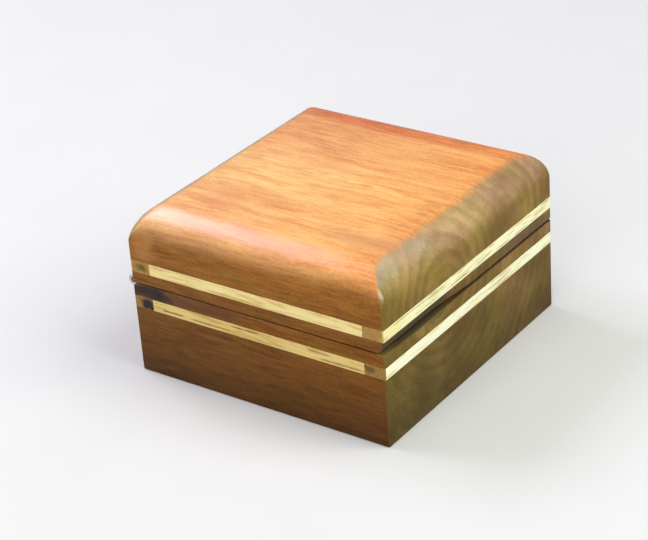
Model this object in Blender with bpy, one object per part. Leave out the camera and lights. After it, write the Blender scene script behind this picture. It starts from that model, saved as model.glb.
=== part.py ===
"""Small hinged gift box cut from one block of dark wood, with pale inlaid strips.

The block is sawn into a base and a lid, and each half is hollowed from its
joint face.  Both halves carry a band of pale strips let into a groove round
all four sides.  A strip hinge joins them at the back.  The lid's lower front
edge is rounded away at the left as a finger lip, which fades to a slight
rounding on the right.

Axes: +Z up, front at -Y, grain along Y.  The origin is the middle of the
underside.  All lengths are in metres.
"""

import math

import bmesh
import bpy
from mathutils import Matrix, Vector

# The wooden block
BOX_WIDTH = 0.0800
BOX_DEPTH = 0.0772
BASE_HEIGHT = 0.0259
LID_HEIGHT = 0.0206
SEAM_GAP = 0.0003
ROUND_OVER = 0.0086
LIP_RADIUS = 0.0029
LIP_END_RADIUS = 0.0005
LIP_FADE_START = -0.0200
LIP_FADE_LENGTH = 0.0240
BACK_EASE = 0.0010

# The hollows, one in each half
SIDE_WALL = 0.0100
END_WALL = 0.0120
BASE_FLOOR = 0.0052
LID_ROOF = 0.0120
HOLLOW_CORNER = 0.00635

# The pale strips
STRIP_HEIGHT = 0.0032
STRIP_INSET = 0.0060
BASE_STRIP_DROP = 0.0036
LID_STRIP_RISE = 0.00325
GLUE_GAP = 0.0002

# The strip hinge along the back
HINGE_END_MARGIN = 0.0010
BARREL_RADIUS = 0.0014
BARREL_OFFSET = 0.0007
LEAF_THICKNESS = 0.0007
LEAF_REACH = 0.0100
KNUCKLE_COUNT = 13
KNUCKLE_GAP = 0.0003
CURL_END_GAP = 0.0002
PIN_RADIUS = 0.0005
PIN_RECESS = 0.0003
MORTISE_GAP = 0.0002

# The hinge screws
SCREWS_PER_LEAF = 4
SCREW_LINE = 0.0080
SCREW_END_MARGIN = 0.0098
SCREW_LENGTH = 0.0060
SCREW_HEAD_RADIUS = 0.00125
SCREW_HEAD_HEIGHT = 0.0006
SCREW_SHANK_RADIUS = 0.00065
SCREW_TIP_LENGTH = 0.0015
SCREW_TIP_RADIUS = 0.00015
SLOT_WIDTH = 0.00035
SLOT_DEPTH = 0.00025
SCREW_GAP = 0.0002

# How far a cutter runs past what it cuts
OVERRUN = 0.0020

# Facets along each kind of curve
ROUND_OVER_STEPS = 14
LIP_STEPS = 10
LIP_FADE_STEPS = 6
CORNER_STEPS = 8
CURL_STEPS = 20
PIN_SIDES = 16
SCREW_SIDES = 16

# What follows from the sizes above
HALF_WIDTH = BOX_WIDTH / 2
HALF_DEPTH = BOX_DEPTH / 2
LID_BOTTOM = BASE_HEIGHT + SEAM_GAP
LID_TOP = LID_BOTTOM + LID_HEIGHT
BASE_STRIP_BOTTOM = BASE_HEIGHT - BASE_STRIP_DROP - STRIP_HEIGHT
LID_STRIP_BOTTOM = LID_BOTTOM + LID_STRIP_RISE
AXIS_Y = HALF_DEPTH + BARREL_OFFSET
AXIS_Z = BASE_HEIGHT + SEAM_GAP / 2
CURL_INNER_RADIUS = BARREL_RADIUS - LEAF_THICKNESS
HINGE_HALF_LENGTH = HALF_WIDTH - HINGE_END_MARGIN
LEAF_INNER_EDGE = HALF_DEPTH - LEAF_REACH
NOTCH_EDGE = AXIS_Y - BARREL_RADIUS - KNUCKLE_GAP


def clear_scene():
    """Remove every object, so that the file builds the same way each time."""
    for item in list(bpy.data.objects):
        bpy.data.objects.remove(item, do_unlink=True)


def make_material(name, colour, roughness, metallic):
    """A plain surface with one colour."""
    material = bpy.data.materials.new(name)
    material.use_nodes = True
    shader = material.node_tree.nodes["Principled BSDF"]
    shader.inputs["Base Color"].default_value = (*colour, 1.0)
    shader.inputs["Roughness"].default_value = roughness
    shader.inputs["Metallic"].default_value = metallic
    return material


def lid_wood():
    """Warm red-brown heartwood with a satin finish."""
    return make_material("lid_wood", (0.36, 0.13, 0.045), 0.42, 0.0)


def base_wood():
    """The same board, a little darker below the joint."""
    return make_material("base_wood", (0.25, 0.11, 0.04), 0.46, 0.0)


def pale_wood(name):
    """Straight-grained pale yellow wood for one inlaid strip."""
    return make_material(name, (0.84, 0.70, 0.38), 0.45, 0.0)


def bright_metal(name, roughness):
    """Nickel-coloured metal for the hinge and its screws."""
    return make_material(name, (0.72, 0.70, 0.66), roughness, 1.0)


def new_object(name, mesh, material=None):
    """Put a mesh in the scene as an object with its own material."""
    item = bpy.data.objects.new(name, mesh)
    bpy.context.scene.collection.objects.link(item)
    if material is not None:
        item.data.materials.append(material)
    return item


def mesh_from(shape, name):
    """Turn a finished bmesh into a mesh with its faces pointing out."""
    bmesh.ops.recalc_face_normals(shape, faces=shape.faces)
    mesh = bpy.data.meshes.new(name)
    shape.to_mesh(mesh)
    shape.free()
    return mesh


def shade_round(item, angle_degrees):
    """Shade curved faces smooth and keep edges sharper than the angle crisp."""
    item.data.shade_smooth()
    item.data.set_sharp_from_angle(angle=math.radians(angle_degrees))


def loft_mesh(name, rings):
    """Join closed rings of equal point count into a capped solid."""
    shape = bmesh.new()
    loops = []
    for ring in rings:
        loops.append([shape.verts.new(point) for point in ring])
    for lower, upper in zip(loops, loops[1:]):
        count = len(lower)
        for index in range(count):
            following = (index + 1) % count
            shape.faces.new((lower[index], lower[following], upper[following], upper[index]))
    shape.faces.new(list(reversed(loops[0])))
    shape.faces.new(loops[-1])
    return mesh_from(shape, name)


def box_mesh(name, low, high):
    """A plain box between two corners."""
    shape = bmesh.new()
    bmesh.ops.create_cube(shape, size=1.0)
    size = Vector(high) - Vector(low)
    centre = (Vector(high) + Vector(low)) / 2
    bmesh.ops.scale(shape, vec=size, verts=shape.verts)
    bmesh.ops.translate(shape, vec=centre, verts=shape.verts)
    return mesh_from(shape, name)


def profile_along_x(name, outline, half_length):
    """Draw an outline of (y, z) points and extrude it along X."""
    shape = bmesh.new()
    corners = [shape.verts.new((-half_length, y, z)) for y, z in outline]
    face = shape.faces.new(corners)
    swept = bmesh.ops.extrude_face_region(shape, geom=[face])
    moved = [part for part in swept["geom"] if isinstance(part, bmesh.types.BMVert)]
    bmesh.ops.translate(shape, vec=(2 * half_length, 0, 0), verts=moved)
    return mesh_from(shape, name)


def rectangle_ring(half_x, half_y, z):
    """Four corners of a level rectangle."""
    return [
        (-half_x, -half_y, z),
        (half_x, -half_y, z),
        (half_x, half_y, z),
        (-half_x, half_y, z),
    ]


def rounded_ring(half_x, half_y, corner, z):
    """A level rectangle with round corners."""
    ring = []
    centres = [
        (half_x - corner, half_y - corner, 0),
        (corner - half_x, half_y - corner, 1),
        (corner - half_x, corner - half_y, 2),
        (half_x - corner, corner - half_y, 3),
    ]
    for centre_x, centre_y, quarter in centres:
        for step in range(CORNER_STEPS + 1):
            angle = math.pi / 2 * (quarter + step / CORNER_STEPS)
            ring.append((centre_x + corner * math.cos(angle), centre_y + corner * math.sin(angle), z))
    return ring


def hide_cutter(item):
    """A cutter shows as wire only and isn't rendered."""
    item.hide_render = True
    item.display_type = "WIRE"


def cut(target, name, cutter_mesh):
    """Cut a shape out of a piece and keep the cutter editable."""
    cutter = new_object(name, cutter_mesh)
    hide_cutter(cutter)
    modifier = target.modifiers.new(name, "BOOLEAN")
    modifier.operation = "DIFFERENCE"
    modifier.solver = "EXACT"
    modifier.object = cutter
    return cutter


def base_blank():
    """The lower part of the block, square on every edge."""
    rings = [
        rectangle_ring(HALF_WIDTH, HALF_DEPTH, 0),
        rectangle_ring(HALF_WIDTH, HALF_DEPTH, BASE_HEIGHT),
    ]
    return loft_mesh("base_block", rings)


def lid_blank():
    """The upper part of the block, its four top edges rounded into mitres."""
    rings = [rectangle_ring(HALF_WIDTH, HALF_DEPTH, LID_BOTTOM)]
    for step in range(ROUND_OVER_STEPS + 1):
        angle = math.pi / 2 * step / ROUND_OVER_STEPS
        inset = ROUND_OVER * (1 - math.cos(angle))
        height = LID_TOP - ROUND_OVER * (1 - math.sin(angle))
        rings.append(rectangle_ring(HALF_WIDTH - inset, HALF_DEPTH - inset, height))
    return loft_mesh("lid_block", rings)


def groove_cutter(name, bottom):
    """A square frame that cuts the strips' groove round all four sides."""
    shape = bmesh.new()
    low = bottom - GLUE_GAP
    high = bottom + STRIP_HEIGHT + GLUE_GAP
    inner = (HALF_WIDTH - STRIP_INSET - GLUE_GAP, HALF_DEPTH - STRIP_INSET - GLUE_GAP)
    outer = (HALF_WIDTH + OVERRUN, HALF_DEPTH + OVERRUN)
    rows = [(outer, low), (outer, high), (inner, high), (inner, low)]
    loops = []
    for (half_x, half_y), z in rows:
        ring = rectangle_ring(half_x, half_y, z)
        loops.append([shape.verts.new(point) for point in ring])
    for row in range(len(loops)):
        near = loops[row]
        far = loops[(row + 1) % len(loops)]
        for index in range(len(near)):
            following = (index + 1) % len(near)
            shape.faces.new((near[index], near[following], far[following], far[index]))
    return mesh_from(shape, name)


def hollow_cutter(name, low, high):
    """The routed hollow of one half, with round corners in plan."""
    half_x = HALF_WIDTH - SIDE_WALL
    half_y = HALF_DEPTH - END_WALL
    rings = [
        rounded_ring(half_x, half_y, HOLLOW_CORNER, low),
        rounded_ring(half_x, half_y, HOLLOW_CORNER, high),
    ]
    return loft_mesh(name, rings)


def lip_ring(x, radius):
    """Section of what the round-over bit takes off the lid's lower front edge."""
    centre_y = radius - HALF_DEPTH
    centre_z = LID_BOTTOM + radius
    ring = []
    for step in range(LIP_STEPS + 1):
        angle = math.pi / 2 * step / LIP_STEPS
        ring.append((x, centre_y - radius * math.sin(angle), centre_z - radius * math.cos(angle)))
    ring.append((x, -HALF_DEPTH - OVERRUN, centre_z))
    ring.append((x, -HALF_DEPTH - OVERRUN, LID_BOTTOM - OVERRUN))
    ring.append((x, centre_y, LID_BOTTOM - OVERRUN))
    return ring


def lip_cutter(name):
    """The finger lip, its radius easing from full on the left to slight on the right.

    Over the fade the share of the way is s * s * (3 - 2 * s), which starts and
    ends level.
    """
    rings = [lip_ring(-HALF_WIDTH - OVERRUN, LIP_RADIUS)]
    for step in range(LIP_FADE_STEPS + 1):
        along = step / LIP_FADE_STEPS
        share = along * along * (3 - 2 * along)
        radius = LIP_RADIUS + (LIP_END_RADIUS - LIP_RADIUS) * share
        rings.append(lip_ring(LIP_FADE_START + LIP_FADE_LENGTH * along, radius))
    rings.append(lip_ring(HALF_WIDTH + OVERRUN, LIP_END_RADIUS))
    return loft_mesh(name, rings)


def ease_cutter(name, edge_z, side):
    """The small chamfer on a back edge at the joint, where the barrel nests."""
    outline = [
        (HALF_DEPTH - BACK_EASE - OVERRUN, edge_z - side * OVERRUN),
        (HALF_DEPTH + OVERRUN, edge_z - side * OVERRUN),
        (HALF_DEPTH + OVERRUN, edge_z + side * (BACK_EASE + OVERRUN)),
    ]
    return profile_along_x(name, outline, HALF_WIDTH + OVERRUN)


def mortise_cutter(name, low, high):
    """The shallow pocket that one hinge leaf lies in, open at the back."""
    half_x = HINGE_HALF_LENGTH + MORTISE_GAP
    low_corner = (-half_x, LEAF_INNER_EDGE - MORTISE_GAP, low)
    high_corner = (half_x, HALF_DEPTH + OVERRUN, high)
    return box_mesh(name, low_corner, high_corner)


def screw_places():
    """Evenly spaced screw positions along the hinge."""
    first = SCREW_END_MARGIN - HINGE_HALF_LENGTH
    step = -2 * first / (SCREWS_PER_LEAF - 1)
    return [first + step * index for index in range(SCREWS_PER_LEAF)]


def turned_mesh(name, outline, sides, places, flip):
    """Turn a profile of (radius, depth) points about a vertical line at each place.

    Depth is measured down from the mouth at z = 0, or up from it when flipped.
    """
    shape = bmesh.new()
    sign = 1 if flip else -1
    for place in places:
        loops = []
        for radius, depth in outline:
            loop = []
            for side in range(sides):
                angle = 2 * math.pi * side / sides
                offset = Vector((radius * math.cos(angle), radius * math.sin(angle), sign * depth))
                loop.append(shape.verts.new(Vector(place) + offset))
            loops.append(loop)
        for upper, lower in zip(loops, loops[1:]):
            for index in range(sides):
                following = (index + 1) % sides
                shape.faces.new((upper[index], upper[following], lower[following], lower[index]))
        shape.faces.new(loops[0])
        shape.faces.new(loops[-1])
    return mesh_from(shape, name)


def pilot_cutter(name, face_z, flip):
    """The screw holes in the wood, from the leaf's inner face inwards."""
    radius = SCREW_SHANK_RADIUS + SCREW_GAP
    outline = [(radius, 0), (radius, SCREW_LENGTH + SCREW_GAP)]
    places = [(x, HALF_DEPTH - SCREW_LINE, face_z) for x in screw_places()]
    return turned_mesh(name, outline, SCREW_SIDES, places, flip)


def leaf_hole_cutter(name, face_z, flip):
    """The countersunk holes through one leaf, following the screw's own profile."""
    sign = 1 if flip else -1
    slope = (SCREW_HEAD_RADIUS - SCREW_SHANK_RADIUS) / SCREW_HEAD_HEIGHT
    outline = [
        (SCREW_HEAD_RADIUS + SCREW_GAP + slope * OVERRUN, 0),
        (SCREW_SHANK_RADIUS + SCREW_GAP, OVERRUN + SCREW_HEAD_HEIGHT),
        (SCREW_SHANK_RADIUS + SCREW_GAP, OVERRUN + LEAF_THICKNESS + OVERRUN),
    ]
    mouth_z = face_z - sign * OVERRUN
    places = [(x, HALF_DEPTH - SCREW_LINE, mouth_z) for x in screw_places()]
    return turned_mesh(name, outline, SCREW_SIDES, places, flip)


def curl_outline(side):
    """Outline of a leaf rolled round the pin, as (y, z) points.

    The sheet runs flat from its inner edge, then turns round the back of the
    axis and ends just short of its own flat part.  Side is -1 for the base's
    leaf, whose flat lies below the axis, and 1 for the lid's.
    """
    end_rise = CURL_INNER_RADIUS - CURL_END_GAP
    end_angle = math.pi + math.asin(end_rise / BARREL_RADIUS)
    start_angle = -math.pi / 2
    outer = []
    inner = []
    for step in range(CURL_STEPS + 1):
        angle = start_angle + (end_angle - start_angle) * step / CURL_STEPS
        outer.append((BARREL_RADIUS * math.cos(angle), BARREL_RADIUS * math.sin(angle)))
        inner.append((CURL_INNER_RADIUS * math.cos(angle), CURL_INNER_RADIUS * math.sin(angle)))
    flat_end = LEAF_INNER_EDGE - AXIS_Y
    outline = [(flat_end, -CURL_INNER_RADIUS), (flat_end, -BARREL_RADIUS)]
    outline.extend(outer)
    outline.extend(reversed(inner))
    return [(AXIS_Y + y, AXIS_Z - side * z) for y, z in outline]


def notch_spans(owned_by_base):
    """The stretches of barrel, as X ranges, that the other leaf's knuckles fill."""
    pitch = 2 * HINGE_HALF_LENGTH / KNUCKLE_COUNT
    spans = []
    for index in range(KNUCKLE_COUNT):
        base_knuckle = index % 2 == 0
        if base_knuckle == owned_by_base:
            continue
        low = -HINGE_HALF_LENGTH + pitch * index
        high = low + pitch
        if index == 0:
            low -= OVERRUN
        if index == KNUCKLE_COUNT - 1:
            high += OVERRUN
        spans.append((low - KNUCKLE_GAP / 2, high + KNUCKLE_GAP / 2))
    return spans


def notch_cutter(name, owned_by_base):
    """One block for each stretch of barrel that belongs to the other leaf."""
    shape = bmesh.new()
    height = 2 * (BARREL_RADIUS + OVERRUN)
    depth = BARREL_RADIUS + OVERRUN + AXIS_Y - NOTCH_EDGE
    centre_y = NOTCH_EDGE + depth / 2
    for low, high in notch_spans(owned_by_base):
        made = bmesh.ops.create_cube(shape, size=1.0)
        bmesh.ops.scale(shape, vec=(high - low, depth, height), verts=made["verts"])
        centre = ((low + high) / 2, centre_y, AXIS_Z)
        bmesh.ops.translate(shape, vec=centre, verts=made["verts"])
    return mesh_from(shape, name)


def build_leaf(name, side, material):
    """One hinge leaf: a flat sheet, its edge notched and rolled into knuckles."""
    owned_by_base = side < 0
    mesh = profile_along_x(name, curl_outline(side), HINGE_HALF_LENGTH)
    leaf = new_object(name, mesh, material)
    cut(leaf, name + "_notches", notch_cutter(name + "_notches", owned_by_base))
    face_z = AXIS_Z + side * CURL_INNER_RADIUS
    flip = not owned_by_base
    cut(leaf, name + "_holes", leaf_hole_cutter(name + "_holes", face_z, flip))
    shade_round(leaf, 35)
    return leaf


def build_pin(material):
    """The plain wire pin through all the knuckles, a little short at both ends."""
    half_length = HINGE_HALF_LENGTH - PIN_RECESS
    outline = []
    for side in range(PIN_SIDES):
        angle = 2 * math.pi * side / PIN_SIDES
        outline.append((AXIS_Y + PIN_RADIUS * math.cos(angle), AXIS_Z + PIN_RADIUS * math.sin(angle)))
    pin = new_object("hinge_pin", profile_along_x("hinge_pin", outline, half_length), material)
    shade_round(pin, 35)
    return pin


def screw_mesh():
    """A countersunk wood screw, its head's face at z = 0 and its tip below."""
    outline = [
        (SCREW_HEAD_RADIUS, 0),
        (SCREW_SHANK_RADIUS, SCREW_HEAD_HEIGHT),
        (SCREW_SHANK_RADIUS, SCREW_LENGTH - SCREW_TIP_LENGTH),
        (SCREW_TIP_RADIUS, SCREW_LENGTH),
    ]
    blank = new_object("screw_blank", turned_mesh("screw_blank", outline, SCREW_SIDES, [(0, 0, 0)], False))
    slot_low = (-SCREW_HEAD_RADIUS - OVERRUN, -SLOT_WIDTH / 2, -SLOT_DEPTH)
    slot_high = (SCREW_HEAD_RADIUS + OVERRUN, SLOT_WIDTH / 2, OVERRUN)
    slot = cut(blank, "screw_slot", box_mesh("screw_slot", slot_low, slot_high))
    graph = bpy.context.evaluated_depsgraph_get()
    mesh = bpy.data.meshes.new_from_object(blank.evaluated_get(graph))
    mesh.name = "hinge_screw"
    bpy.data.objects.remove(blank, do_unlink=True)
    bpy.data.objects.remove(slot, do_unlink=True)
    return mesh


def build_screws(owner, parent, side, mesh):
    """One row of screws through a leaf, heads flush with the leaf's inner face."""
    face_z = AXIS_Z + side * CURL_INNER_RADIUS
    for number, x in enumerate(screw_places(), start=1):
        name = f"{owner}_hinge_screw_{number}"
        own_mesh = mesh.copy()
        own_mesh.name = name
        screw = new_object(name, own_mesh, bright_metal(name + "_metal", 0.35))
        slot_turn = Matrix.Rotation(math.radians(40 * number), 4, "Z")
        facing = Matrix.Rotation(0 if side < 0 else math.pi, 4, "X")
        place = Matrix.Translation((x, HALF_DEPTH - SCREW_LINE, face_z))
        screw.matrix_world = place @ facing @ slot_turn
        shade_round(screw, 35)
        attach(screw, parent)


def strip_mesh(name, low, high):
    """One inlaid strip, square on every edge and flush with the wood."""
    return box_mesh(name, low, high)


def build_strips(owner, parent, bottom):
    """Four strips let into a groove: front and back run through, the sides fit between."""
    top = bottom + STRIP_HEIGHT
    inner_x = HALF_WIDTH - STRIP_INSET
    inner_y = HALF_DEPTH - STRIP_INSET
    side_y = inner_y - GLUE_GAP
    corners = {
        "front": ((-HALF_WIDTH, -HALF_DEPTH, bottom), (HALF_WIDTH, -inner_y, top)),
        "back": ((-HALF_WIDTH, inner_y, bottom), (HALF_WIDTH, HALF_DEPTH, top)),
        "left": ((-HALF_WIDTH, -side_y, bottom), (-inner_x, side_y, top)),
        "right": ((inner_x, -side_y, bottom), (HALF_WIDTH, side_y, top)),
    }
    for place, (low, high) in corners.items():
        name = f"{owner}_strip_{place}"
        strip = new_object(name, strip_mesh(name, low, high), pale_wood(name + "_wood"))
        attach(strip, parent)


def attach(item, parent):
    """Parent a piece to an empty and leave it where it is."""
    world = item.matrix_world.copy()
    item.parent = parent
    item.matrix_parent_inverse = parent.matrix_world.inverted()
    item.matrix_world = world


def build_base(parent):
    """The lower block with its groove, hollow, hinge mortise and screw holes."""
    base = new_object("base_block", base_blank(), base_wood())
    cut(base, "base_groove", groove_cutter("base_groove", BASE_STRIP_BOTTOM))
    hollow = hollow_cutter("base_hollow", BASE_FLOOR, BASE_HEIGHT + OVERRUN)
    cut(base, "base_hollow", hollow)
    mortise_floor = AXIS_Z - BARREL_RADIUS - MORTISE_GAP
    mortise = mortise_cutter("base_mortise", mortise_floor, BASE_HEIGHT + OVERRUN)
    cut(base, "base_mortise", mortise)
    cut(base, "base_back_ease", ease_cutter("base_back_ease", BASE_HEIGHT, -1))
    pilots = pilot_cutter("base_pilots", AXIS_Z - CURL_INNER_RADIUS, False)
    cut(base, "base_pilots", pilots)
    attach(base, parent)
    return base


def build_lid(parent):
    """The upper block with its groove, hollow, finger lip, mortise and screw holes."""
    lid = new_object("lid_block", lid_blank(), lid_wood())
    cut(lid, "lid_groove", groove_cutter("lid_groove", LID_STRIP_BOTTOM))
    hollow = hollow_cutter("lid_hollow", LID_BOTTOM - OVERRUN, LID_TOP - LID_ROOF)
    cut(lid, "lid_hollow", hollow)
    cut(lid, "lid_lip", lip_cutter("lid_lip"))
    mortise_roof = AXIS_Z + BARREL_RADIUS + MORTISE_GAP
    mortise = mortise_cutter("lid_mortise", LID_BOTTOM - OVERRUN, mortise_roof)
    cut(lid, "lid_mortise", mortise)
    cut(lid, "lid_back_ease", ease_cutter("lid_back_ease", LID_BOTTOM, 1))
    pilots = pilot_cutter("lid_pilots", AXIS_Z + CURL_INNER_RADIUS, True)
    cut(lid, "lid_pilots", pilots)
    shade_round(lid, 25)
    attach(lid, parent)
    return lid


def new_empty(name, place):
    """An empty that carries one rigid body."""
    empty = bpy.data.objects.new(name, None)
    empty.empty_display_size = BOX_WIDTH / 4
    empty.location = place
    bpy.context.scene.collection.objects.link(empty)
    bpy.context.view_layer.update()
    return empty


def build_box():
    """Make the base, then the lid about the hinge axis, then the hinge itself."""
    base_body = new_empty("base_body", (0, 0, 0))
    lid_body = new_empty("lid_body", (0, AXIS_Y, AXIS_Z))
    build_base(base_body)
    build_lid(lid_body)
    build_strips("base", base_body, BASE_STRIP_BOTTOM)
    build_strips("lid", lid_body, LID_STRIP_BOTTOM)
    base_leaf = build_leaf("hinge_base_leaf", -1, bright_metal("base_leaf_metal", 0.28))
    attach(base_leaf, base_body)
    lid_leaf = build_leaf("hinge_lid_leaf", 1, bright_metal("lid_leaf_metal", 0.28))
    attach(lid_leaf, lid_body)
    attach(build_pin(bright_metal("pin_metal", 0.22)), base_body)
    screw = screw_mesh()
    build_screws("base", base_body, -1, screw)
    build_screws("lid", lid_body, 1, screw)
    bpy.data.meshes.remove(screw)


clear_scene()
build_box()
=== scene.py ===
"""Looks of a small hinged gift box: dark figured wood, pale inlaid strips and a strip hinge.

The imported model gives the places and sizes.  Every visible piece is a surface
worked out here as whole arrays, and every finish is built from shader nodes.
Axes: +Z up, front at -Y, grain of the block along Y.  Lengths are in metres.
"""

import logging
import math
from dataclasses import dataclass
from enum import Enum

import bmesh
import bpy
import numpy as np
from mathutils import Matrix, Vector


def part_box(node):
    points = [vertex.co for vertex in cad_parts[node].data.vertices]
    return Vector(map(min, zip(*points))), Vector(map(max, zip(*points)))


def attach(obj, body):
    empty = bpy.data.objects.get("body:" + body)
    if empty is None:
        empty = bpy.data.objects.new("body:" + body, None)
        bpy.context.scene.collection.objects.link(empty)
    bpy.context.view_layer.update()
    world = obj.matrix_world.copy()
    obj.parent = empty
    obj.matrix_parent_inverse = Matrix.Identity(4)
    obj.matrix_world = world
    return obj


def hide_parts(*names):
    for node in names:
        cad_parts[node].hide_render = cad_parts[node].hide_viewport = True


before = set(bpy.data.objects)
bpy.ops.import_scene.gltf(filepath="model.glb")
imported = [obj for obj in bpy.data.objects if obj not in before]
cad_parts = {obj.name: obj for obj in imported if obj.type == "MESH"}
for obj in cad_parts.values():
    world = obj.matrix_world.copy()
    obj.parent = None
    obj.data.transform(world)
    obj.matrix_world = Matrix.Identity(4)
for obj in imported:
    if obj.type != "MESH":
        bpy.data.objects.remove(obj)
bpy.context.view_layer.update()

LOG = logging.getLogger("gift_box")

MM = 0.001
PHOTO_WIDTH_PX = 648
SENSOR_WIDTH_MM = 36.0
RIGHT_ANGLE = 0.5 * math.pi
FULL_TURN = 2 * math.pi

Colour = tuple[float, float, float]
Point = tuple[float, float, float]
Piece = bpy.types.Object
Socket = bpy.types.NodeSocket
Tree = bpy.types.NodeTree
Material = bpy.types.Material


class Body(Enum):
    """The rigid bodies that pieces ride on."""

    BASE = "base"
    LID = "lid"


class Slot(Enum):
    """The material slots."""

    BASE_WOOD = "base_wood"
    LID_WOOD = "lid_wood"
    PALE = "pale_strip"
    HINGE = "hinge_metal"
    PIN = "pin_metal"
    SCREW = "screw_metal"


class Grain(Enum):
    """Which way the fibres of a piece run."""

    ALONG_X = "x"
    ALONG_Y = "y"


class Side(Enum):
    """The four faces that carry a strip."""

    FRONT = "front"
    BACK = "back"
    LEFT = "left"
    RIGHT = "right"


# ---- meshes ----


def linked_object(name: str, data: bpy.types.ID) -> Piece:
    """A new object of the scene that holds this data.

    Args:
        name: the object's name.
        data: its mesh, camera or lamp data.

    Returns:
        The object, at the origin.
    """
    item = bpy.data.objects.new(name, data)
    bpy.context.scene.collection.objects.link(item)
    return item


def mesh_object(name: str, verts: np.ndarray, faces: list[list[int]]) -> Piece:
    """Make an object from points and faces, with its faces pointing out.

    Args:
        name: the object's and mesh's name.
        verts: points, one row each.
        faces: corner numbers of each face.

    Returns:
        The linked object at the origin.
    """
    mesh = bpy.data.meshes.new(name)
    mesh.from_pydata(verts.tolist(), [], faces)
    work = bmesh.new()
    work.from_mesh(mesh)
    bmesh.ops.remove_doubles(work, verts=work.verts, dist=1e-7)
    bmesh.ops.recalc_face_normals(work, faces=work.faces)
    work.to_mesh(mesh)
    work.free()
    return linked_object(name, mesh)


def grid_faces(rows: int, columns: int) -> list[list[int]]:
    """Quads between successive rows of a grid whose columns close on themselves.

    Args:
        rows: number of rings.
        columns: points in each ring.

    Returns:
        Corner numbers of each quad.
    """
    row = np.arange(rows - 1)[:, None]
    column = np.arange(columns)[None, :]
    following = (column + 1) % columns
    quads = np.stack(
        [
            row * columns + column,
            row * columns + following,
            (row + 1) * columns + following,
            (row + 1) * columns + column,
        ],
        axis=-1,
    )
    return quads.reshape(-1, 4).tolist()


def closed_loft(name: str, rings: np.ndarray) -> Piece:
    """Skin a stack of rings and close both ends with one flat face each.

    Args:
        name: the object's name.
        rings: array of rings, points and coordinates.

    Returns:
        The linked object.
    """
    rows, columns = rings.shape[:2]
    faces = grid_faces(rows, columns)
    faces.append(list(range(columns))[::-1])
    faces.append(list(range((rows - 1) * columns, rows * columns)))
    return mesh_object(name, rings.reshape(-1, 3), faces)


def plan_rings(
    half: np.ndarray, radii: np.ndarray, height: np.ndarray, centre: tuple[float, float],
    arc_points: int = 5, side_points: int = 6,
) -> np.ndarray:
    """Rectangles with rounded corners, one ring for each height.

    Each corner is an arc whose centre lies one radius inside both walls:
    point = centre of arc + radius * (cos, sin).  The sides between two arcs
    are straight and divided evenly.

    Args:
        half: half width and half depth of each ring.
        radii: four corner radii of each ring, from front-left counter-clockwise.
        height: z of each ring.
        centre: x and y of the middle, one for all rings.
        arc_points: points on each corner.
        side_points: points inside each straight side.

    Returns:
        Array of rings, points and coordinates.
    """
    signs = np.array([[-1, -1], [1, -1], [1, 1], [-1, 1]], float)
    start = RIGHT_ANGLE * np.array([2.0, 3.0, 0.0, 1.0])
    turn = np.linspace(0.0, RIGHT_ANGLE, arc_points)
    angle = start[:, None] + turn[None, :]
    unit = np.stack([np.cos(angle), np.sin(angle)], axis=-1)
    hub = signs[None] * (half[:, None, :] - radii[:, :, None])
    arcs = hub[:, :, None, :] + radii[:, :, None, None] * unit[None]
    ends = arcs[:, :, -1:, :]
    starts = np.roll(arcs, -1, axis=1)[:, :, :1, :]
    share = np.linspace(0.0, 1.0, side_points + 2)[1:-1][None, None, :, None]
    sides = ends * (1 - share) + starts * share
    loop = np.concatenate([arcs, sides], axis=2).reshape(len(half), -1, 2)
    loop = loop + np.array(centre)[None, None, :]
    z = np.broadcast_to(height[:, None, None], (*loop.shape[:2], 1))
    return np.concatenate([loop, z], axis=-1)


def fillet_path(points: np.ndarray, radii: np.ndarray, steps: int = 4) -> np.ndarray:
    """Round the inner corners of a path of straight runs.

    At each corner the arc is tangent to both runs: it starts and ends at
    radius / tan(half the opening angle) from the corner, and is drawn as a
    blend of the two tangent points and the corner with cosine weights.

    Args:
        points: corners of the path.
        radii: radius at each corner, the first and last unused.
        steps: straight steps in each arc.

    Returns:
        The rounded path.
    """
    path = [points[:1]]
    for index in range(1, len(points) - 1):
        before, corner, after = points[index - 1], points[index], points[index + 1]
        if radii[index] <= 0:
            path.append(corner[None])
            continue
        one = (before - corner) / np.linalg.norm(before - corner)
        two = (after - corner) / np.linalg.norm(after - corner)
        opening = math.acos(float(np.clip(one @ two, -1.0, 1.0)))
        reach = radii[index] / math.tan(opening / 2)
        bisector = (one + two) / np.linalg.norm(one + two)
        hub = corner + bisector * radii[index] / math.sin(opening / 2)
        first, last = corner + one * reach - hub, corner + two * reach - hub
        sweep = math.acos(float(np.clip(first @ last / radii[index] ** 2, -1.0, 1.0)))
        share = np.linspace(0.0, 1.0, steps + 1)[:, None]
        arc = np.sin((1 - share) * sweep) * first + np.sin(share * sweep) * last
        path.append(hub + arc / math.sin(sweep))
    path.append(points[-1:])
    return np.concatenate(path)


def carry_along_x(name: str, outline: np.ndarray, stations: np.ndarray) -> Piece:
    """Carry a closed outline of (y, z) points along X.

    Args:
        name: the object's name.
        outline: the profile's points.
        stations: the x of each copy of the profile.

    Returns:
        The linked object.
    """
    x = np.broadcast_to(stations[:, None, None], (len(stations), len(outline), 1))
    yz = np.broadcast_to(outline[None], (len(stations), *outline.shape))
    return closed_loft(name, np.concatenate([x, yz], axis=-1))


def circle(points: int) -> tuple[np.ndarray, np.ndarray]:
    """Cosine and sine of angles spaced evenly round a circle, each as one row."""
    angle = np.linspace(0.0, FULL_TURN, points, endpoint=False)[None]
    return np.cos(angle), np.sin(angle)


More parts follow.
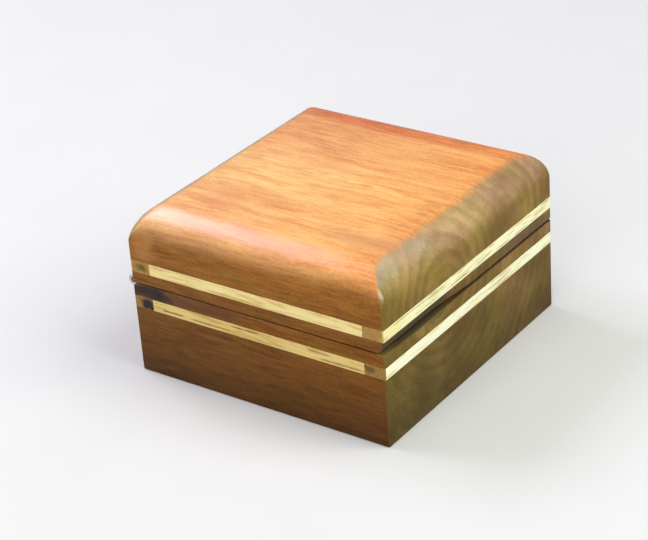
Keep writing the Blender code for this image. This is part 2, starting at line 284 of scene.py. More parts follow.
def subtract(item: Piece, cutters: list[Piece]) -> None:
    """Cut shapes out of a piece, keep the result as its mesh and remove the cutters.

    Args:
        item: the piece to cut.
        cutters: closed shapes to take away.
    """
    for cutter in cutters:
        modifier = item.modifiers.new(cutter.name, "BOOLEAN")
        modifier.operation = "DIFFERENCE"
        modifier.solver = "EXACT"
        modifier.object = cutter
    graph = bpy.context.evaluated_depsgraph_get()
    mesh = bpy.data.meshes.new_from_object(item.evaluated_get(graph))
    old = item.data
    item.modifiers.clear()
    item.data = mesh
    mesh.name = item.name
    bpy.data.meshes.remove(old)
    for cutter in cutters:
        bpy.data.objects.remove(cutter, do_unlink=True)


def box_cutter(name: str, low: Point, high: Point) -> Piece:
    """A square block between two corners, used only to cut.

    Args:
        name: the block's name.
        low: its lowest corner.
        high: its highest corner.

    Returns:
        The linked block.
    """
    low_corner, high_corner = np.array(low), np.array(high)
    half = np.repeat((high_corner - low_corner)[None, :2] / 2, 2, axis=0)
    middle = (low_corner + high_corner) / 2
    height = np.array([low_corner[2], high_corner[2]])
    square = np.zeros((2, 4))
    rings = plan_rings(half, square, height, (middle[0], middle[1]), arc_points=1, side_points=0)
    return closed_loft(name, rings)


def shade(item: Piece, angle: float) -> None:
    """Shade a piece smooth, keeping edges sharper than an angle in degrees crisp."""
    item.data.shade_smooth()
    item.data.set_sharp_from_angle(angle=math.radians(angle))


def dress(
    item: Piece, material: Material, body: Body, slot: Slot, *nodes: str
) -> None:
    """Give a piece its finish and body, and hide the CAD nodes that it stands for.

    Args:
        item: the piece.
        material: its finish.
        body: the rigid body that it rides on.
        slot: the material slot; not used.
        *nodes: the CAD nodes that it replaces.
    """
    item.data.materials.clear()
    item.data.materials.append(material)
    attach(item, body.value)
    if nodes:
        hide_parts(*nodes)
    LOG.info("%s: %d faces, rides on %s", item.name, len(item.data.polygons), body.value)


# ---- shader nodes ----

FLOAT, VECTOR = "NodeSocketFloat", "NodeSocketVector"
RANGE_SOCKETS = ("From Min", "From Max", "To Min", "To Max")
SHADED_HEIGHT = 40.0 * MM


def set_sockets(node: bpy.types.Node, values: dict[str, object]) -> None:
    """Set a node's own sockets, by name, to plain values."""
    for label, value in values.items():
        node.inputs[label].default_value = value


class Sketch:
    """Adds and joins nodes in one node tree."""

    def __init__(self, tree: Tree) -> None:
        """Keep the tree that nodes are added to."""
        self.tree = tree

    def add(self, kind: str, **settings: object) -> bpy.types.Node:
        """Add a node and set its plain properties.

        Args:
            kind: the node's type name.
            **settings: the properties to set, by name.

        Returns:
            The new node.
        """
        node = self.tree.nodes.new(kind)
        for key, value in settings.items():
            setattr(node, key, value)
        return node

    def feed(self, socket: Socket, source: object) -> None:
        """Join a socket to another node's output, or set its value.

        Args:
            socket: the input to fill.
            source: an output to link from, or a plain value.
        """
        if isinstance(source, Socket):
            self.tree.links.new(source, socket)
        else:
            socket.default_value = source

    def math(self, operation: str, *values: object, clamp: bool = False) -> Socket:
        """A Math node over its inputs in order.

        Args:
            operation: the node's operation.
            *values: outputs or numbers, one for each input.
            clamp: whether the result is held between 0 and 1.

        Returns:
            The result.
        """
        node = self.add("ShaderNodeMath", operation=operation, use_clamp=clamp)
        for socket, value in zip(node.inputs, values):
            self.feed(socket, value)
        return node.outputs[0]

    def times(self, first: object, second: object) -> Socket:
        """The product of two values."""
        return self.math("MULTIPLY", first, second)

    def plus(self, first: object, second: object) -> Socket:
        """The sum of two values."""
        return self.math("ADD", first, second)

    def minus(self, first: object, second: object) -> Socket:
        """The first value less the second."""
        return self.math("SUBTRACT", first, second)

    def larger(self, first: object, second: object) -> Socket:
        """The larger of two values."""
        return self.math("MAXIMUM", first, second)

    def unsigned(self, value: object) -> Socket:
        """A value without its sign."""
        return self.math("ABSOLUTE", value)

    def scaled(self, value: object, factor: object, offset: object) -> Socket:
        """A value times a factor, plus an offset."""
        return self.math("MULTIPLY_ADD", value, factor, offset)

    def vector(self, operation: str, *values: object) -> Socket:
        """A Vector Math node's vector output.

        Args:
            operation: the node's operation.
            *values: outputs or vectors, one for each input.

        Returns:
            The resulting vector.
        """
        node = self.add("ShaderNodeVectorMath", operation=operation)
        for socket, value in zip(node.inputs, values):
            self.feed(socket, value)
        return node.outputs["Vector"]

    def split(self, source: object) -> tuple[Socket, ...]:
        """The x, y and z of a vector.

        Args:
            source: the vector.

        Returns:
            Its three parts.
        """
        node = self.add("ShaderNodeSeparateXYZ")
        self.feed(node.inputs[0], source)
        return tuple(node.outputs)

    def join(self, x: object, y: object, z: object) -> Socket:
        """A vector from three values.

        Args:
            x: its first part.
            y: its second part.
            z: its third part.

        Returns:
            The vector.
        """
        node = self.add("ShaderNodeCombineXYZ")
        for socket, value in zip(node.inputs, (x, y, z)):
            self.feed(socket, value)
        return node.outputs[0]

    def swapped(self, vector: Socket) -> Socket:
        """A vector with its x and y exchanged."""
        x, y, z = self.split(vector)
        return self.join(y, x, z)

    def noise(
        self, vector: object, scale: float, detail: float = 2.0, rough: float = 0.5
    ) -> Socket:
        """Smooth noise between 0 and 1.

        Args:
            vector: where the noise is read.
            scale: cells of noise in each metre.
            detail: number of finer layers.
            rough: weight of each finer layer.

        Returns:
            The noise.
        """
        node = self.add("ShaderNodeTexNoise")
        self.feed(node.inputs["Vector"], vector)
        set_sockets(node, {"Scale": scale, "Detail": detail, "Roughness": rough})
        return node.outputs[0]

    def ease(
        self, value: object, low: float, high: float, to_low: float = 0.0, to_high: float = 1.0
    ) -> Socket:
        """Map a value from one range to another with soft ends.

        Args:
            value: the value to map.
            low: where the change starts.
            high: where it ends.
            to_low: result up to its start.
            to_high: result from its end on.

        Returns:
            The mapped value.
        """
        node = self.add("ShaderNodeMapRange", interpolation_type="SMOOTHSTEP")
        self.feed(node.inputs["Value"], value)
        set_sockets(node, dict(zip(RANGE_SOCKETS, (low, high, to_low, to_high))))
        return node.outputs[0]

    def ramp(self, value: object, stops: list[tuple[float, Colour]]) -> Socket:
        """Colours spread along a value.

        Args:
            value: where the colours are read, from 0 to 1.
            stops: place and colour of each stop.

        Returns:
            The colour.
        """
        node = self.add("ShaderNodeValToRGB")
        ramp = node.color_ramp
        while len(ramp.elements) < len(stops):
            ramp.elements.new(1.0)
        for element, (place, colour) in zip(ramp.elements, stops):
            element.position = place
            element.color = (*colour, 1.0)
        self.feed(node.inputs[0], value)
        return node.outputs[0]

    def blend(self, share: object, first: object, second: object, mode: str = "MIX") -> Socket:
        """Mix two colours by a share between 0 and 1.

        Args:
            share: how much of the second colour shows.
            first: the first colour.
            second: the second colour.
            mode: how the node combines them.

        Returns:
            The mixed colour.
        """
        node = self.add("ShaderNodeMix", data_type="RGBA", blend_type=mode)
        self.feed(node.inputs[0], share)
        for socket, colour in ((node.inputs[6], first), (node.inputs[7], second)):
            value = colour if isinstance(colour, Socket) else (*colour, 1.0)
            self.feed(socket, value)
        return node.outputs[2]

    def tint(self, colour: object, filter_colour: object) -> Socket:
        """A colour multiplied by another one."""
        return self.blend(1.0, colour, filter_colour, "MULTIPLY")

    def tones(self, share: object, tones: tuple[Colour, Colour, Colour]) -> Socket:
        """Three colours spread evenly along a share."""
        return self.ramp(share, list(zip((0.0, 0.5, 1.0), tones)))

    def surface(self) -> tuple[Socket, Socket]:
        """The point on the piece, in its own coordinates, and its normal."""
        place = self.add("ShaderNodeTexCoord")
        return place.outputs["Object"], place.outputs["Normal"]

    def relief(
        self, shader: bpy.types.Node, height: Socket, strength: float, depth: float
    ) -> None:
        """Shade a surface as if it rose and fell by a fine height.

        Args:
            shader: the shader of the surface.
            height: the height, as a share of the depth.
            strength: how strongly it shows.
            depth: a height of one, in metres.
        """
        bump = self.add("ShaderNodeBump")
        set_sockets(bump, {"Strength": strength, "Distance": depth})
        self.feed(bump.inputs["Height"], height)
        self.feed(shader.inputs["Normal"], bump.outputs[0])

    def group(self, tree: Tree, **values: object) -> bpy.types.Node:
        """Place a node group and set or join its named inputs.

        Args:
            tree: the group's tree.
            **values: outputs or values by input, with _ for a space.

        Returns:
            The group's node.
        """
        node = self.add("ShaderNodeGroup", node_tree=tree)
        for name, value in values.items():
            self.feed(node.inputs[name.replace("_", " ")], value)
        return node


def new_group(
    name: str, inputs: dict[str, str], outputs: dict[str, str]
) -> tuple[Sketch, dict[str, Socket], bpy.types.Node]:
    """Start a shader node group with named sockets.

    Args:
        name: the group's name.
        inputs: socket type of each input, by name.
        outputs: socket type of each output, by name.

    Returns:
        A sketch of its tree, its input sockets by name and its output node.
    """
    tree = bpy.data.node_groups.new(name, "ShaderNodeTree")
    for label, kind in inputs.items():
        tree.interface.new_socket(label, in_out="INPUT", socket_type=kind)
    for label, kind in outputs.items():
        tree.interface.new_socket(label, in_out="OUTPUT", socket_type=kind)
    sketch = Sketch(tree)
    entry = sketch.add("NodeGroupInput")
    leave = sketch.add("NodeGroupOutput")
    return sketch, {label: entry.outputs[label] for label in inputs}, leave


# ---- shared effects ----
#
# A noise is (cells in each metre, finer layers, their weight).  An ease is (where the
# change starts, where it ends, the result before it, the result after it).

RING_BEND, RING_FINE_BEND, RING_LINES = (55.0, 3.0), (260.0, 2.0), (1300.0, 3.0, 0.6)
RING_FINE_REACH = 0.0007
RING_RISE, RING_FALL = (0.0, 0.70), (0.66, 1.0, 1.0, 0.0)
RING_ROW, RING_STRENGTHS, RING_STRENGTH = (0.3, 0.7), (0.73, 0.0), (0.3, 0.7, 0.35, 1.0)
RING_ARC_LENGTH = 0.010
RING_SQUEEZE, LINE_SQUEEZE = 0.12, 0.1

FIBRE_DRIFT, FIBRE_REACH = (28.0, 2.0, 0.5), 0.0032
FIBRE_MASKS = {
    "Bands": (0.14, (210.0, 3.0, 0.55)),
    "Streaks": (0.08, (1150.0, 3.0, 0.62)),
    "Pores": (0.08, (1900.0, 1.0, 0.5)),
    "Clouds": (0.4, (75.0, 3.0, 0.5)),
    "Mottle": (0.42, (520.0, 3.0, 0.65)),
}
SPECKS, PORE_GATE = (1500.0, 2.0, 0.6), (0.57, 0.70)

FACE_TILT, FACE_WAVER, FACE_WAVER_RANGE = -0.10, (190.0, 4.0, 0.6), (1.4, 0.3)
FACE_END, FACE_UP, FACE_LIFT = (0.08, 0.40), (0.15, 0.88), (0.0, 0.68)
PATCH_FRAY, PATCH_FRAY_RANGE = (420.0, 3.0), (1.2, -0.6)
SCRATCH_SQUEEZE, SCRATCHES, SMUDGE = 0.04, (9000.0, 2.0, 0.7), (170.0, 4.0, 0.6)


def ring_group() -> Tree:
    """Growth rings and the fine lines beside them, about a pith line along Y.

    Rings follow the distance from the pith, bent by slow noise.  Each ring rises
    slowly and falls back a little faster.  Lines are noise over that bent distance
    and, stretched many times, over the arc round the pith.

    Returns:
        The group's tree.
    """
    sketch, source, leave = new_group(
        "growth_rings",
        {"Position": VECTOR, "Pith X": FLOAT, "Pith Z": FLOAT, "Spacing": FLOAT, "Wander": FLOAT},
        {"Rings": FLOAT, "Lines": FLOAT},
    )
    x, y, z = sketch.split(source["Position"])
    slow = sketch.join(x, sketch.times(y, RING_SQUEEZE), z)
    bend = sketch.minus(sketch.noise(slow, *RING_BEND), 0.5)
    fine_bend = sketch.minus(sketch.noise(slow, *RING_FINE_BEND), 0.5)
    dx = sketch.minus(x, source["Pith X"])
    dz = sketch.minus(z, source["Pith Z"])
    radius = sketch.math("SQRT", sketch.plus(sketch.times(dx, dx), sketch.times(dz, dz)))
    shift = sketch.times(bend, source["Wander"])
    shift = sketch.scaled(fine_bend, RING_FINE_REACH, shift)
    across = sketch.plus(radius, shift)
    turns = sketch.math("DIVIDE", across, source["Spacing"])
    part = sketch.math("FRACT", turns)
    hump = sketch.times(sketch.ease(part, *RING_RISE), sketch.ease(part, *RING_FALL))
    strength = sketch.noise(sketch.join(sketch.math("FLOOR", turns), *RING_ROW), *RING_STRENGTHS)
    rings = sketch.times(hump, sketch.ease(strength, *RING_STRENGTH))
    arc = sketch.times(sketch.math("ARCTAN2", dz, dx), RING_ARC_LENGTH)
    lines = sketch.noise(sketch.join(across, arc, sketch.times(y, LINE_SQUEEZE)), *RING_LINES)
    sketch.feed(leave.inputs["Rings"], rings)
    sketch.feed(leave.inputs["Lines"], lines)
    return sketch.tree


def fibre_group() -> Tree:
    """Streaks, pores, mottle and slow colour clouds of wood whose fibres run along Y.

    Each mask but the specks is noise on a position squeezed along Y, so that a
    spot across the fibres becomes a long streak along them.  The position first
    drifts sideways by slow noise, which makes the fibres waver.

    Returns:
        The group's tree.
    """
    labels = (*FIBRE_MASKS, "Specks")
    sketch, source, leave = new_group(
        "wood_fibre", {"Position": VECTOR}, dict.fromkeys(labels, FLOAT)
    )
    drift = sketch.noise(source["Position"], *FIBRE_DRIFT)
    drift = sketch.scaled(drift, FIBRE_REACH, -0.5 * FIBRE_REACH)
    x, y, z = sketch.split(source["Position"])
    x, z = sketch.plus(x, drift), sketch.plus(z, drift)
    made = {}
    for label, (squeeze, noise) in FIBRE_MASKS.items():
        made[label] = sketch.noise(sketch.join(x, sketch.times(y, squeeze), z), *noise)
    made["Pores"] = sketch.ease(made["Pores"], *PORE_GATE)
    made["Specks"] = sketch.noise(source["Position"], *SPECKS)
    for label, value in made.items():
        sketch.feed(leave.inputs[label], value)
    return sketch.tree


def facing_group() -> Tree:
    """How far a face looks along the fibres or upwards.

    End is the size of the normal's Y part less a little of its Z part, times
    slow noise, eased, so that end grain gives way to long grain along a
    wavering line.  Up is the normal's Z part eased late, Lift the same part
    eased early.

    Returns:
        The group's tree.
    """
    sketch, source, leave = new_group(
        "face_kind",
        {"Position": VECTOR, "Normal": VECTOR},
        {"End": FLOAT, "Up": FLOAT, "Lift": FLOAT},
    )
    _, y, z = sketch.split(source["Normal"])
    tilt = sketch.scaled(z, FACE_TILT, sketch.unsigned(y))
    waver = sketch.scaled(sketch.noise(source["Position"], *FACE_WAVER), *FACE_WAVER_RANGE)
    sketch.feed(leave.inputs["End"], sketch.ease(sketch.times(tilt, waver), *FACE_END))
    sketch.feed(leave.inputs["Up"], sketch.ease(z, *FACE_UP))
    sketch.feed(leave.inputs["Lift"], sketch.ease(z, *FACE_LIFT))
    return sketch.tree


def spot_group() -> Tree:
    """A soft box-shaped patch, used for stains, worn places, painted shade and painted highlights.

    In each direction the patch fades over its Fade beyond its Half size, and
    noise frays its rim.

    Returns:
        The group's tree.
    """
    labels = ("Position", "Centre", "Half", "Fade")
    sketch, source, leave = new_group(
        "soft_patch", dict.fromkeys(labels, VECTOR), {"Patch": FLOAT}
    )
    offset = sketch.vector("SUBTRACT", source["Position"], source["Centre"])
    away = sketch.vector("ABSOLUTE", offset)
    outside = sketch.vector("SUBTRACT", away, source["Half"])
    past = sketch.vector("DIVIDE", outside, source["Fade"])
    fray = sketch.scaled(sketch.noise(source["Position"], *PATCH_FRAY), *PATCH_FRAY_RANGE)
    shares = [
        sketch.ease(sketch.plus(part, fray), 0.0, 1.0, 1.0, 0.0) for part in sketch.split(past)
    ]
    patch = sketch.times(sketch.times(shares[0], shares[1]), shares[2])
    sketch.feed(leave.inputs["Patch"], patch)
    return sketch.tree


def scuff_group() -> Tree:
    """Fine scratches and smudges for metal and for a clear finish.

    Returns:
        The group's tree.
    """
    sketch, source, leave = new_group(
        "scuffs", {"Position": VECTOR}, {"Scratches": FLOAT, "Smudge": FLOAT}
    )
    x, y, z = sketch.split(source["Position"])
    along = sketch.join(sketch.times(x, SCRATCH_SQUEEZE), y, z)
    sketch.feed(leave.inputs["Scratches"], sketch.noise(along, *SCRATCHES))
    sketch.feed(leave.inputs["Smudge"], sketch.noise(source["Position"], *SMUDGE))
    return sketch.tree


@dataclass(frozen=True)
class Groups:
    """The shared effects, built once."""

    rings: Tree
    fibre: Tree
    facing: Tree
    patch: Tree
    scuffs: Tree


def build_groups() -> Groups:
    """Build every shared node group."""
    return Groups(ring_group(), fibre_group(), facing_group(), spot_group(), scuff_group())


@dataclass(frozen=True)
class Patch:
    """One place of stain or wear on the wood, or a place of painted shade or painted highlight."""

    colour: Colour
    centre: Point
    half: Point
    fade: Point
    strength: float


@dataclass(frozen=True)
class Look:
    """A material in the making, with the shared effects at each point of its piece."""

    sketch: Sketch
    groups: Groups
    position: Socket
    effects: dict[str, Socket]

    def summed(self, start: object, *weights: tuple[str, float]) -> Socket:
        """A starting value plus some effects, each times its weight.

        Args:
            start: the starting value.
            *weights: name and weight of each effect.

        Returns:
            The sum.
        """
        total = start
        for name, weight in weights:
            total = self.sketch.scaled(self.effects[name], weight, total)
        return total

    def eased(self, name: str, *span: float) -> Socket:
        """One effect, eased over a span."""
        return self.sketch.ease(self.effects[name], *span)

    def with_stains_and_painted_light(self, colour: Socket, patches: tuple[Patch, ...]) -> Socket:
        """Lay places of stain or wear, and places of painted shade or painted highlight, over a
        colour, one after another.

        Args:
            colour: the colour below.
            patches: the places, the lowest first.

        Returns:
            The colour with every place laid on.
        """
        for patch in patches:
            spot = self.sketch.group(
                self.groups.patch, Position=self.position,
                Centre=patch.centre, Half=patch.half, Fade=patch.fade,
            )
            share = self.sketch.times(spot.outputs["Patch"], patch.strength)
            colour = self.sketch.blend(share, colour, patch.colour)
        return colour


def start_material(name: str) -> tuple[Sketch, bpy.types.Node]:
    """Start a material.

    Args:
        name: the material's name.

    Returns:
        The sketch of its tree, and its Principled shader.
    """
    material = bpy.data.materials.new(name)
    material.use_nodes = True
    return Sketch(material.node_tree), material.node_tree.nodes["Principled BSDF"]


def outputs_of(*nodes: bpy.types.Node) -> dict[str, Socket]:
    """The outputs of some nodes, by name."""
    return {socket.name: socket for node in nodes for socket in node.outputs}


# ---- finishes ----
#
# Places are in metres, and shares, weights and tints have no unit.

RED_EDGE, RED_EDGE_BACK = (0.0255, 0.0312), (-0.020, 0.012, 0.62, 1.0)
RED_INSIDE, RED_INSIDE_BACK = (0.0020, 0.0180, 0.0, 0.42), (-0.004, 0.020, 0.30, 1.0)
RED_FRONT, RED_CLOUDS = (-0.0350, -0.0210, 0.32, 0.0), 0.5

VEIN_LEAN, VEIN_DRIFT, VEIN_WIDTH = 0.055, 0.0030, (0.0002, 0.0012, 0.95, 0.0)
VEIN_SQUEEZE, VEIN_LENGTHS, VEIN_GATE = (0.6, 1.0, 1.0), (150.0, 1.0), (0.40, 0.56, 0.35, 1.0)
GLOW_X, GLOW_WIDTH, GLOW_BACK = -0.0085, (0.002, 0.010, 0.30, 0.0), (-0.030, 0.004, 0.35, 1.0)
GOLD_STREAKS = (0.34, 0.62, 0.25, 1.0)

LINE_LEAN, LINE_DRIFT, LINE_X, LINE_WIDTH = 0.04, 0.0024, 0.009, (0.0001, 0.0007, 0.42, 0.0)
LINE_NOISE, LINE_GATE = (60.0, 2.0), (0.38, 0.56, 0.2, 1.0)

FIGURE_BANDS = 0.26
FIGURE = (
    ("Streaks", 0.50), ("Rings", -0.06), ("Clouds", 0.20), ("Mottle", 0.10), ("Specks", 0.26),
)
SIDE_FIGURE, TOP_FIGURE = (0.45, 0.85), (0.485, 0.825)
TOP_DEPTH, TOP_FRONT_TINT, TOP_BACK_TINT = (-0.036, 0.034), (0.95, 0.90, 0.90), (1.0, 1.03, 1.09)
SIDE_VEILS = (
    ("Clouds", (0.52, 0.72), 0.50, (0.24, 0.150, 0.012)),
    ("Bands", (0.56, 0.74), 0.40, (0.36, 0.115, 0.018)),
)
PORE_SHARES, PORE_TINT = (-0.08, 0.34), (0.52, 0.36, 0.30)

END_ARCHES, END_FIGURE = (-0.030, 0.0, -0.13, -0.08), (("Lines", 0.19), ("Specks", 0.26))
END_PLACE, END_NOISE, END_DRIFT = (0.31, 0.0, 0.17), (62.0, 3.0, 0.6), 0.92
END_SHARE = (0.45, 0.97)
HAZE_NOISE, HAZE_SLOPE, HAZE_WEIGHT = (75.0, 3.0, 0.55), -3.2, 0.55
OLIVE_GATE, OLIVE_TINT = (0.50, 0.66), (0.86, 0.98, 0.62)
ROSY_GATE, ROSY_TINT = (0.34, 0.48, 1.0, 0.0), (0.98, 0.84, 1.15)

STRIP_STEP = 0.001
COAT_LEAST, COAT_END = 0.04, (-0.6, 1.0)
COAT_DEPTH, COAT_SMUDGE = (-0.036, 0.034, 0.24, 1.0), (0.5, 0.75)
DARK_ROUGH, DARK_ROUGHER = 0.38, (("Streaks", 0.16), ("Smudge", 0.10), ("End", 0.12))
DARK_RELIEF, WOOD_DEPTH = (("Pores", -0.8), ("Lines", 0.15)), 0.05 * MM

PALE_BANDS, PALE_FIGURE, PALE_SHARE = 0.4, ("Streaks", 0.6), (0.30, 0.72)
PALE_DARK, PALE_LIGHT = (0.68, 0.56, 0.38), (1.08, 1.12, 1.25)
PALE_BRIGHTEST, PALE_MIDDLE = 0.97, 0.42
FLAW_SQUEEZE, FLAW_NOISE, FLAW_WIDTH = 0.05, (1500.0, 2.0, 0.6), (0.60, 0.70)
FLAW_PLACES, FLAW_GATE, FLAW_COLOUR = (90.0, 2.0), (0.48, 0.60), (0.26, 0.15, 0.05)
PALE_END_SPECKS, PALE_END_DEEP, PALE_END_BROWN = (0.3, 0.7), 0.8, 1.12
PALE_ROUGH, PALE_ROUGHER = 0.42, ("Streaks", 0.2)

TARNISH_GATE = (0.52, 0.78, 0.0, 0.55)
METAL_SMOOTHER, METAL_ROUGHER = 0.05, (("Smudge", 0.18), ("Scratches", 0.12))
SCRATCH_DEPTH = 0.02 * MM


@dataclass(frozen=True)
class DarkWood:
    """Figured red-brown wood under a satin clear finish, grain along Y."""

    name: str
    side: tuple[Colour, Colour, Colour]
    top: tuple[Colour, Colour, Colour]
    end: tuple[Colour, Colour, Colour]
    ruddy: Colour
    deep_ruddy: Colour
    golden: Colour
    gloss: float
    foot_shade: tuple[float, float]
    strip_height: float
    band_tones: tuple[float, float]
    # Painted light: a tint that lightens end grain as it turns upwards.
    end_painted_light: Colour
    patches: tuple[Patch, ...] = ()
    end_patches: tuple[Patch, ...] = ()
    pith: tuple[float, float] = (-0.013, 0.0312)
    spacing: float = 0.0036
    wander: float = 0.0036

    def painted_foot_shade(self, look: Look, foot: float) -> Socket:
        """Painted shade: a grey that grows evenly up the walls to one, darker towards the bottom,
        with a step at the strip.

        Args:
            look: the material in the making.
            foot: the share at the underside.

        Returns:
            The grey to multiply a colour by.
        """
        sketch = look.sketch
        _, _, z = sketch.split(look.position)
        rise = sketch.add("ShaderNodeMapRange")
        sketch.feed(rise.inputs["Value"], z)
        set_sockets(rise, dict(zip(RANGE_SOCKETS, (0.0, SHADED_HEIGHT, foot, 1.0))))
        low, high = self.strip_height - STRIP_STEP, self.strip_height + STRIP_STEP
        tone = sketch.times(rise.outputs[0], sketch.ease(z, low, high, *self.band_tones))
        return sketch.join(tone, tone, tone)

    def ruddy_share(self, look: Look) -> Socket:
        """How red the top is.

        It is reddest at its right edge towards the back, less so at its front, and
        drifts with the clouds.

        Args:
            look: the material in the making.

        Returns:
            The share of red.
        """
        sketch = look.sketch
        x, y, _ = sketch.split(look.position)
        edge = sketch.times(sketch.ease(x, *RED_EDGE), sketch.ease(y, *RED_EDGE_BACK))
        inside = sketch.times(sketch.ease(x, *RED_INSIDE), sketch.ease(y, *RED_INSIDE_BACK))
        share = sketch.larger(edge, sketch.larger(inside, sketch.ease(y, *RED_FRONT)))
        drift = sketch.minus(0.5, look.effects["Clouds"])
        return sketch.math("MULTIPLY_ADD", drift, RED_CLOUDS, share, clamp=True)

    def golden_share(self, look: Look) -> Socket:
        """How golden the top is: one bright vein along its middle and a wider glow left of it.

        The vein's middle leans as x = 0.055 y and wanders with the bands.

        Args:
            look: the material in the making.

        Returns:
            The share of gold.
        """
        sketch, position = look.sketch, look.position
        x, y, _ = sketch.split(position)
        off = self.off_line(look, x, y, VEIN_LEAN, VEIN_DRIFT)
        vein = sketch.ease(sketch.unsigned(off), *VEIN_WIDTH)
        lengths = sketch.noise(sketch.vector("MULTIPLY", position, VEIN_SQUEEZE), *VEIN_LENGTHS)
        vein = sketch.times(vein, sketch.ease(lengths, *VEIN_GATE))
        glow = sketch.ease(sketch.unsigned(sketch.plus(x, -GLOW_X)), *GLOW_WIDTH)
        glow = sketch.times(glow, sketch.ease(y, *GLOW_BACK))
        return sketch.times(sketch.larger(vein, glow), look.eased("Streaks", *GOLD_STREAKS))

    def off_line(self, look: Look, x: Socket, y: Socket, lean: float, drift: float) -> Socket:
        """Distance across from a line that leans and wanders with the bands.

        Args:
            look: the material in the making.
            x: place across.
            y: place along.
            lean: how far the line moves across for each metre along.
            drift: how far the bands move it.

        Returns:
            The signed distance.
        """
        sketch = look.sketch
        wander = sketch.scaled(look.effects["Bands"], drift, -0.5 * drift)
        return sketch.plus(sketch.scaled(y, -lean, x), wander)

    def thin_lines(self, look: Look) -> Socket:
        """Two fine dark lines along the top, 9 mm either side of its middle, that come and go.

        Args:
            look: the material in the making.

        Returns:
            Their share.
        """
        sketch = look.sketch
        x, y, _ = sketch.split(look.position)
        off = self.off_line(look, x, y, LINE_LEAN, LINE_DRIFT)
        beside = sketch.unsigned(sketch.minus(sketch.unsigned(off), LINE_X))
        gate = sketch.ease(sketch.noise(look.position, *LINE_NOISE), *LINE_GATE)
        return sketch.times(sketch.ease(beside, *LINE_WIDTH), gate)

    def long_grain(self, look: Look) -> Socket:
        """Colour of the faces that the fibres run along, sides and top.

        The figure is streaks, bands, clouds, mottle and specks less a share of the rings.

        Args:
            look: the material in the making.

        Returns:
            The colour.
        """
        sketch, effects = look.sketch, look.effects
        figure = look.summed(sketch.times(effects["Bands"], FIGURE_BANDS), *FIGURE)
        side = sketch.tones(sketch.ease(figure, *SIDE_FIGURE), self.side)
        for name, gate, strength, veil in SIDE_VEILS:
            side = sketch.blend(sketch.times(look.eased(name, *gate), strength), side, veil)
        share = sketch.ease(figure, *TOP_FIGURE)
        top = sketch.tones(share, self.top)
        top = sketch.blend(self.golden_share(look), top, self.golden)
        top = sketch.blend(self.thin_lines(look), top, self.ruddy)
        flame = sketch.ramp(share, [(0.0, self.deep_ruddy), (1.0, self.ruddy)])
        top = sketch.blend(self.ruddy_share(look), top, flame)
        _, y, _ = sketch.split(look.position)
        # A tint along the depth of the top: darker at the front and bluer at the back.
        worn = sketch.blend(sketch.ease(y, *TOP_DEPTH), TOP_FRONT_TINT, TOP_BACK_TINT)
        # Partly painted light: the top's tones are far lighter than the sides', partly the wood's
        # own colour and partly as if lit from above.
        colour = sketch.blend(effects["Up"], side, sketch.tint(top, worn))
        pores = sketch.times(effects["Pores"], sketch.scaled(effects["Up"], *PORE_SHARES))
        return sketch.blend(pores, colour, sketch.tint(colour, PORE_TINT))

    def end_grain(self, look: Look) -> Socket:
        """Colour of the front and back: faint cut rings under drifting hazes.

        The hazes are olive to the left and rosy to the right.

        Args:
            look: the material in the making.

        Returns:
            The colour.
        """
        sketch = look.sketch
        x, y, _ = sketch.split(look.position)
        arches = sketch.times(look.effects["Rings"], sketch.ease(y, *END_ARCHES))
        drift = sketch.noise(sketch.vector("ADD", look.position, END_PLACE), *END_NOISE)
        mix = sketch.scaled(drift, END_DRIFT, look.summed(arches, *END_FIGURE))
        colour = sketch.tones(sketch.ease(mix, *END_SHARE), self.end)
        haze = sketch.scaled(x, HAZE_SLOPE, sketch.noise(look.position, *HAZE_NOISE))
        for gate, tint in ((OLIVE_GATE, OLIVE_TINT), (ROSY_GATE, ROSY_TINT)):
            share = sketch.times(sketch.ease(haze, *gate), HAZE_WEIGHT)
            colour = sketch.blend(share, colour, sketch.tint(colour, tint))
        return colour

    def coat_share(self, look: Look) -> Socket:
        """Weight of the clear finish: full on top, thinner on end grain and to the front.

        Args:
            look: the material in the making.

        Returns:
            The weight.
        """
        sketch, effects = look.sketch, look.effects
        _, y, _ = sketch.split(look.position)
        gloss = sketch.scaled(effects["Lift"], self.gloss, COAT_LEAST)
        gloss = sketch.times(gloss, sketch.scaled(effects["End"], *COAT_END))
        gloss = sketch.times(gloss, sketch.ease(y, *COAT_DEPTH))
        return sketch.times(gloss, sketch.scaled(effects["Smudge"], *COAT_SMUDGE))

    def start(self, groups: Groups) -> tuple[Look, bpy.types.Node]:
        """Start the material with every shared effect at its point.

        Args:
            groups: the shared effects.

        Returns:
            The look and its shader.
        """
        sketch, shader = start_material(self.name)
        position, normal = sketch.surface()
        effects = outputs_of(
            sketch.group(
                groups.rings, Position=position, Pith_X=self.pith[0], Pith_Z=self.pith[1],
                Spacing=self.spacing, Wander=self.wander,
            ),
            sketch.group(groups.facing, Position=position, Normal=normal),
            sketch.group(groups.fibre, Position=position),
            sketch.group(groups.scuffs, Position=position),
        )
        return Look(sketch, groups, position, effects), shader

    def build(self, groups: Groups) -> Material:
        """Make the material.

        Args:
            groups: the shared effects.

        Returns:
            The finished material.
        """
        look, shader = self.start(groups)
        sketch, effects = look.sketch, look.effects
        colour = sketch.tint(self.long_grain(look), self.painted_foot_shade(look, self.foot_shade[0]))
        end = self.end_grain(look)
